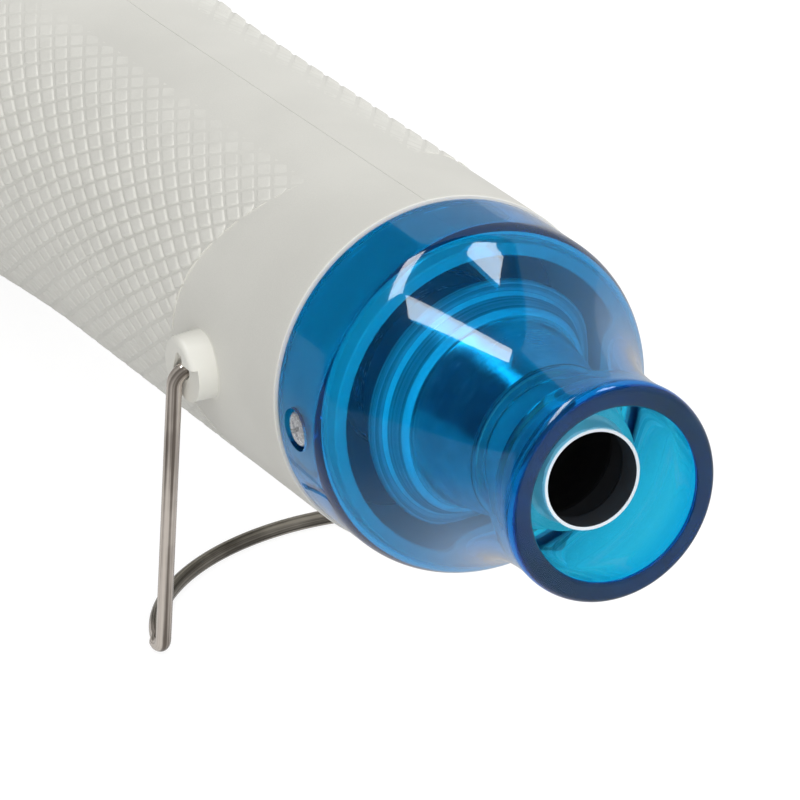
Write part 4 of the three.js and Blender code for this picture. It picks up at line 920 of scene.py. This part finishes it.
# Painted highlights: the collar's arcs and the mouth's cut edge are blended to near-white.
clean = (collar_painted_highlights + rim_painted_highlight).blend(clean, paint(250, 251, 252))
haze = (burnt + step + front_tube) * 0.3
dents = place.noise(0.28, 1.0) * (step + front_tube) * 7.0
place.feed(
    shader,
    Base_Color=burnt.blend(clean, paint(50, 52, 57)),
    Metallic=(1 - burnt) * (1 - dull),
    Roughness=haze + (smudge * 0.6 + rings * 0.4).ease(0.32, 0.68, 0.14, 0.28),
    Normal=(rings * 0.6 + smudge * 1.4 + dents).bump(0.03),
)
keep("steel_nozzle", nozzle_mesh, nozzle_steel, ["hot_air_nozzle"])

# Shield: one transparent blue moulding, polished inside and out, that slides over the spigot. A plain
# flange, a rounded shoulder and a hollow flank lead to the neck and a flat rim round the mouth.
FLANGE, CLEAR = 25.5, 2.0
NECK, NECK_AT, SWEEP = 15.45, 43.4, 50.0
SHOULDER, INNER_ROUND, SHIELD_END, MOUTH = 2.6, 1.3, 50.99, 12.5
LIP_RUN, LIP_DROP, MOUTH_RUN, MOUTH_DROP = 2.0, 1.15, 0.5, 0.75
REAR_EASE = 0.25
ROUND_STEPS, FLANK_STEPS = 12, 40
TINT, TINT_DENSITY = (0.0, 0.864, 0.969, 1), 1500.0
bore = FLANGE - CLEAR
sweep_middle = NECK + SWEEP


def flank(s, inset=0.0):
    """Radius of the hollow flank, or of the wall's inside at the given thickness."""
    return sweep_middle - math.sqrt((SWEEP + inset) ** 2 - (NECK_AT - s) ** 2)


def flank_start(radius, inset=0.0):
    """Place along the axis where the flank reaches a radius."""
    return NECK_AT - math.sqrt((SWEEP + inset) ** 2 - (sweep_middle - radius) ** 2)


edge = flank_start(FLANGE)
inner_edge = flank_start(bore, CLEAR)
below = edge + SHOULDER
lip_start = SHIELD_END - LIP_RUN
shield = [(SEAT_GAP, bore), (SEAT_GAP, FLANGE - REAR_EASE), (SEAT_GAP + 0.08, FLANGE - 0.08)]
shield += [(s, FLANGE) for s in (SEAT_GAP + REAR_EASE, 3.0, 6.0, 8.5)]
shield += bend((edge - SHOULDER, FLANGE), (edge, FLANGE), (below, flank(below)), ROUND_STEPS)
for i in range(FLANK_STEPS):
    s = below + (lip_start - below) * (i + 1) / FLANK_STEPS
    shield.append((s, flank(s)))
rim = flank(lip_start) - LIP_DROP
shield += [(lip_start + LIP_RUN * math.sin(a), rim + LIP_DROP * math.cos(a)) for a in quarter[1:]]
for a in quarter[::2]:
    shield.append((SHIELD_END - MOUTH_RUN * (1 - math.cos(a)), MOUTH + MOUTH_DROP * (1 - math.sin(a))))
mouth_slope = (flank(NECK_AT, CLEAR) - MOUTH) / (SHIELD_END - NECK_AT)
shield += [(s, MOUTH + (SHIELD_END - s) * mouth_slope) for s in (49.0, 47.0, 45.0)]
inside_start = inner_edge + INNER_ROUND
for i in range(FLANK_STEPS):
    s = NECK_AT + (inside_start - NECK_AT) * i / FLANK_STEPS
    shield.append((s, flank(s, CLEAR)))
inside_join = (inside_start, flank(inside_start, CLEAR))
shield += bend(inside_join, (inner_edge, bore), (inner_edge - INNER_ROUND, bore), ROUND_STEPS)
shield += [(s, bore) for s in (9.5, 7.5, 3.5)]
cuts = []
for low, radius in ((bore - 3.5, SHANK_HOLE), (SINK_FLOOR, SINK)):
    pair = [across_tool(bar(low, FLANGE + 2.5, radius), SHIELD_SCREW_AT, side) for side in (-1, 1)]
    cuts.append(("DIFFERENCE", together(*pair)))
shield_mesh = carved(turned(shield, 192), *cuts)

clear_blue, place, shader = new_finish("clear_blue", Transmission_Weight=1.0, IOR=1.58)
polish = place.noise(0.35, 3.0)
place.feed(
    shader,
    Base_Color=polish.ease(0.3, 0.7).blend((0.97, 0.98, 0.99, 1), (1, 1, 1, 1)),
    Roughness=polish.ease(0.4, 0.75, 0.0, 0.03),
)
tint = place.node("ShaderNodeVolumeAbsorption", {"Color": TINT, "Density": TINT_DENSITY})
haze = place.node("ShaderNodeBsdfPrincipled", {"Base Color": (0.0, 0.2, 0.48, 1), "Roughness": 0.2})
clouded = polish.ease(0.3, 0.7, 0.09, 0.12)
glass = Link(clear_blue.node_tree, shader.outputs["BSDF"])
cloudy = place.node("ShaderNodeMixShader", {0: clouded, 1: glass, 2: haze})
place.feed(clear_blue.node_tree.nodes["Material Output"], Surface=cloudy, Volume=tint)
keep("clear_shield", shield_mesh, clear_blue, ["nozzle_shield"], crease=24)

# Stand: one length of stainless spring wire, bent with tight corners into two legs and a bowed foot.
# Its turned-in ends snap into the ears, and it swings forward under the shield.
WIRE, BEND, LEG_SIDE, PIN, LEG = 1.14, 2.3, 30.2, 5.6, 51.65
FOOT_SAG, FOOT_ENTRY, FOOT_PITCH = 20.9, math.radians(5.5), math.radians(8)
BEND_STEPS, LEG_STEPS, BOW_STEPS = 10, 8, 32
half_path = [(0, LEG_SIDE - PIN, 0), (0, LEG_SIDE - BEND - 1, 0)]
for i in range(BEND_STEPS + 1):
    a = math.pi / 2 * i / BEND_STEPS
    half_path.append((0, LEG_SIDE - BEND + BEND * math.sin(a), BEND * (math.cos(a) - 1)))
half_path += [(0, LEG_SIDE, -LEG * i / LEG_STEPS) for i in range(1, LEG_STEPS)]
corner_run = BEND * math.tan(math.pi / 4 - FOOT_PITCH / 2)
for i in range(BEND_STEPS + 1):
    a = (math.pi / 2 - FOOT_PITCH) * i / BEND_STEPS
    half_path.append((BEND * (math.cos(a) - 1), LEG_SIDE, corner_run - BEND * math.sin(a) - LEG))
entry = math.sin(FOOT_ENTRY)
bow_half, bow_depth = LEG_SIDE / math.cos(FOOT_ENTRY), FOOT_SAG / (1 - entry)
bow_start = math.asin(corner_run / bow_depth + entry)
for i in range(1, BOW_STEPS + 1):
    a = bow_start + (math.pi / 2 - bow_start) * i / BOW_STEPS
    back = bow_depth * (math.sin(a) - entry)
    drop = back * math.sin(FOOT_PITCH) + LEG
    half_path.append((-back * math.cos(FOOT_PITCH), bow_half * math.cos(a), -drop))
path = half_path + [(x, -y, z) for x, y, z in half_path[-2::-1]]
to_stand = Matrix.Translation((-EAR_SETBACK, 0, 0)) @ Matrix.Rotation(LEG_LEAN, 4, "Y")
path = [to_stand @ Vector(p) for p in path]

WIRE_SIDES = 28
turns = [2 * math.pi * k / WIRE_SIDES for k in range(WIRE_SIDES)]
made = bmesh.new()
uv = made.loops.layers.uv.new("wire")
rings, runs, run = [], [], 0.0
normal = Vector((1, 0, 0))
for i, p in enumerate(path):
    tangent = (path[min(i + 1, len(path) - 1)] - path[max(i - 1, 0)]).normalized()
    normal = (normal - tangent * normal.dot(tangent)).normalized()
    other = tangent.cross(normal)
    run += (p - path[i - 1]).length if i else 0.0
    runs.append(run)
    rings.append([made.verts.new(p + (normal * math.cos(t) + other * math.sin(t)) * WIRE) for t in turns])
for i in range(len(rings) - 1):
    for k in range(WIRE_SIDES):
        quad = ((i, k), (i, k + 1), (i + 1, k + 1), (i + 1, k))
        face = made.faces.new([rings[a][b % WIRE_SIDES] for a, b in quad])
        for loop, (a, b) in zip(face.loops, quad):
            loop[uv].uv = (runs[a], 2 * math.pi * WIRE * b / WIRE_SIDES)
made.faces.new(rings[0][::-1])
made.faces.new(rings[-1])
wire_mesh = mesh_of(made)

spring_wire, place, shader = new_finish("spring_wire", Metallic=0.55)
along, round_wire, _ = place.node("ShaderNodeTexCoord", out="UV").split()
turn = round_wire / WIRE
# Dark and light bands that run along the wire, from a noise round its circumference, are painted
# reflections with a little real stain mixed in; the same noise gives the drawing marks in roughness and
# bump.
round_band_place = place.point(X=along * 0.012, Y=turn.maths("SINE") * 1.5, Z=turn.maths("COSINE") * 1.5)
draw_marks_and_painted_reflection = round_band_place.noise(1.0, 2.0)
stain = place.noise(0.12, 3.0)
_, across, height = place.split()
# The foot is painted darker than the legs: painted shade.
FOOT_HIGH, FOOT_LOW = -38, -42
foot_shade_mask = height.ease(FOOT_HIGH, FOOT_LOW) * across.maths("ABSOLUTE").ease(LEG_SIDE - 0.4, LEG_SIDE - 1.7)
reflection_and_stain_bands = (draw_marks_and_painted_reflection * 0.85 + stain * 0.15).ease(0.36, 0.57)
leg_tone = reflection_and_stain_bands.blend(paint(108, 99, 91), paint(220, 210, 200))
foot_shaded_tone = reflection_and_stain_bands.blend(paint(66, 62, 55), paint(162, 156, 146))
place.feed(
    shader,
    Base_Color=foot_shade_mask.blend(leg_tone, foot_shaded_tone),
    Roughness=draw_marks_and_painted_reflection.ease(0.3, 0.7, 0.1, 0.2),
    Normal=draw_marks_and_painted_reflection.bump(0.004),
)
keep("bent_wire_stand", wire_mesh, spring_wire, ["wire_stand"], "stand")

# Studio: a white floor, two long soft lamps side by side overhead, a white wall behind and a dark
# room to the left. Matte surfaces have a soft fill from the front, stronger behind the shield's tint.
# The camera has a long lens and looks down on the nozzle from the front right.
FLOOR_REACH = 12.0
PAPER = (0.68, 0.68, 0.68, 1)
FLOOR_SHARE, FLOOR_GLOW, THROUGH_GLOW = 0.7, 1.25, 0.4
SHADE_PLACES, SHADE_LEVELS = (-0.14, -0.03), (0.22, 0.6)
floor_mesh = bpy.data.meshes.new("floor")
corners = [(x * FLOOR_REACH, y * FLOOR_REACH, 0) for x, y in SQUARE]
floor_mesh.from_pydata(corners, [], [(0, 1, 2, 3)])
white_floor = bpy.data.materials.new("white_floor")


def bare_tree(owner):
    """Emptied node tree of a material or of the world."""
    owner.use_nodes = True
    owner.node_tree.nodes.clear()
    return Link(owner.node_tree)


start = bare_tree(white_floor)
ray = start.node("ShaderNodeLightPath", out="Is Camera Ray")
mirrored = ray.of("Is Glossy Ray")
_, aside, _ = start.node("ShaderNodeTexCoord", out="Object").split()
shade = aside.ease(*SHADE_PLACES, *SHADE_LEVELS)
through = ray.of("Is Transmission Ray")
seen = (ray.maths("MAXIMUM", through) * FLOOR_SHARE).maths("MAXIMUM", mirrored)
paper = start.node("ShaderNodeBsdfDiffuse", {"Color": PAPER})
strength = mirrored * (shade - FLOOR_GLOW) + through * THROUGH_GLOW + FLOOR_GLOW
glow = start.node("ShaderNodeEmission", {"Color": (1, 1, 1, 1), "Strength": strength})
both = start.node("ShaderNodeMixShader", {0: seen, 1: paper, 2: glow})
start.node("ShaderNodeOutputMaterial", {"Surface": both})
floor_mesh.materials.append(white_floor)
floor = placed("floor", floor_mesh)

ROOM_DARK, ROOM_WALL, ROOM_FRONT, BACKDROP = 0.025, 0.4, 0.04, 1.0
FILL_REAR, FILL_FRONT, FILL_INSIDE = 0.05, 1.85, 9.5
WALL_TOP, WALL_EDGE = math.radians(46), math.radians(-100)
world = bpy.data.worlds.new("studio")
scene.world = world
start = bare_tree(world)
x, y, z = start.node("ShaderNodeTexCoord", out="Generated").split()
flat_run = (x * x + y * y).maths("SQRT")
below_top = (z - flat_run * math.tan(WALL_TOP)) < 0.0
behind_edge = (x * -math.cos(WALL_EDGE) - y * math.sin(WALL_EDGE)) > 0.0
wall = below_top * behind_edge
front_side = (x - y * 0.25).ease(0.0, 0.7)
level = front_side * (ROOM_FRONT - ROOM_DARK) + ROOM_DARK
ray = start.node("ShaderNodeLightPath", out="Is Camera Ray")
through = ray.of("Is Transmission Ray")
level = level.maths("MAXIMUM", wall * (through * (BACKDROP - ROOM_WALL) + ROOM_WALL))
fill = (x * 0.85 + y * 0.3 + z * 0.3).ease(-0.95, 0.95, FILL_REAR, FILL_FRONT)
inside = (x * 0.9 - y * 0.3 - z * 0.2).ease(0.0, 1.0, 0.0, FILL_INSIDE)
mirrored = ray.of("Is Glossy Ray").maths("MAXIMUM", through)
mirrored = mirrored * (ray.of("Diffuse Depth") < 0.5)
fill = fill + through * (inside - fill)
level = fill + mirrored * (level - fill)
level = level + ray * (1 - level)
sky = start.node("ShaderNodeBackground", {"Color": (1, 1, 1, 1), "Strength": level})
start.node("ShaderNodeOutputWorld", {"Surface": sky})

LAMP_HEIGHT = 1.05
LAMP_RUN = Vector((-0.875, 0.484, 0))
LAMP_UP = Vector((0, 0, 1))
lamp_axes = Matrix((LAMP_RUN, LAMP_UP.cross(LAMP_RUN), LAMP_UP)).transposed().to_4x4()
for name, place, length, width, power in (
    ("long_lamp_near", (-0.371, -0.255), 0.97, 0.21, 5.15),
    ("long_lamp_far", (-0.075, 0.475), 0.33, 0.26, 2.0),
):
    lamp = bpy.data.lights.new(name, "AREA")
    lamp.shape, lamp.size, lamp.size_y, lamp.energy = "RECTANGLE", length, width, power
    holder = placed(name, lamp)
    holder.matrix_world = Matrix.Translation((*place, LAMP_HEIGHT)) @ lamp_axes
    holder.visible_diffuse = False

CAMERA_RIGHT = Vector((0.4536, 0.8876, -0.0801))
CAMERA_DOWN = Vector((0.3283, -0.25, -0.9109))
CAMERA_AHEAD = Vector((-0.82851, 0.38687, -0.40484))
CAMERA_PLACE = Vector((809.3, -384.5, 392.9))
lens = bpy.data.cameras.new("camera")
lens.lens, lens.sensor_width, lens.clip_end = 315.0, 36.0, 50.0
camera = placed("camera", lens)
facing = (AXES @ Matrix((CAMERA_RIGHT, -CAMERA_DOWN, -CAMERA_AHEAD)).transposed()).normalized()
camera.matrix_world = Matrix.Translation(TO_ROW @ CAMERA_PLACE) @ facing.to_4x4()
scene.camera = camera
scene.view_settings.view_transform = "Standard"
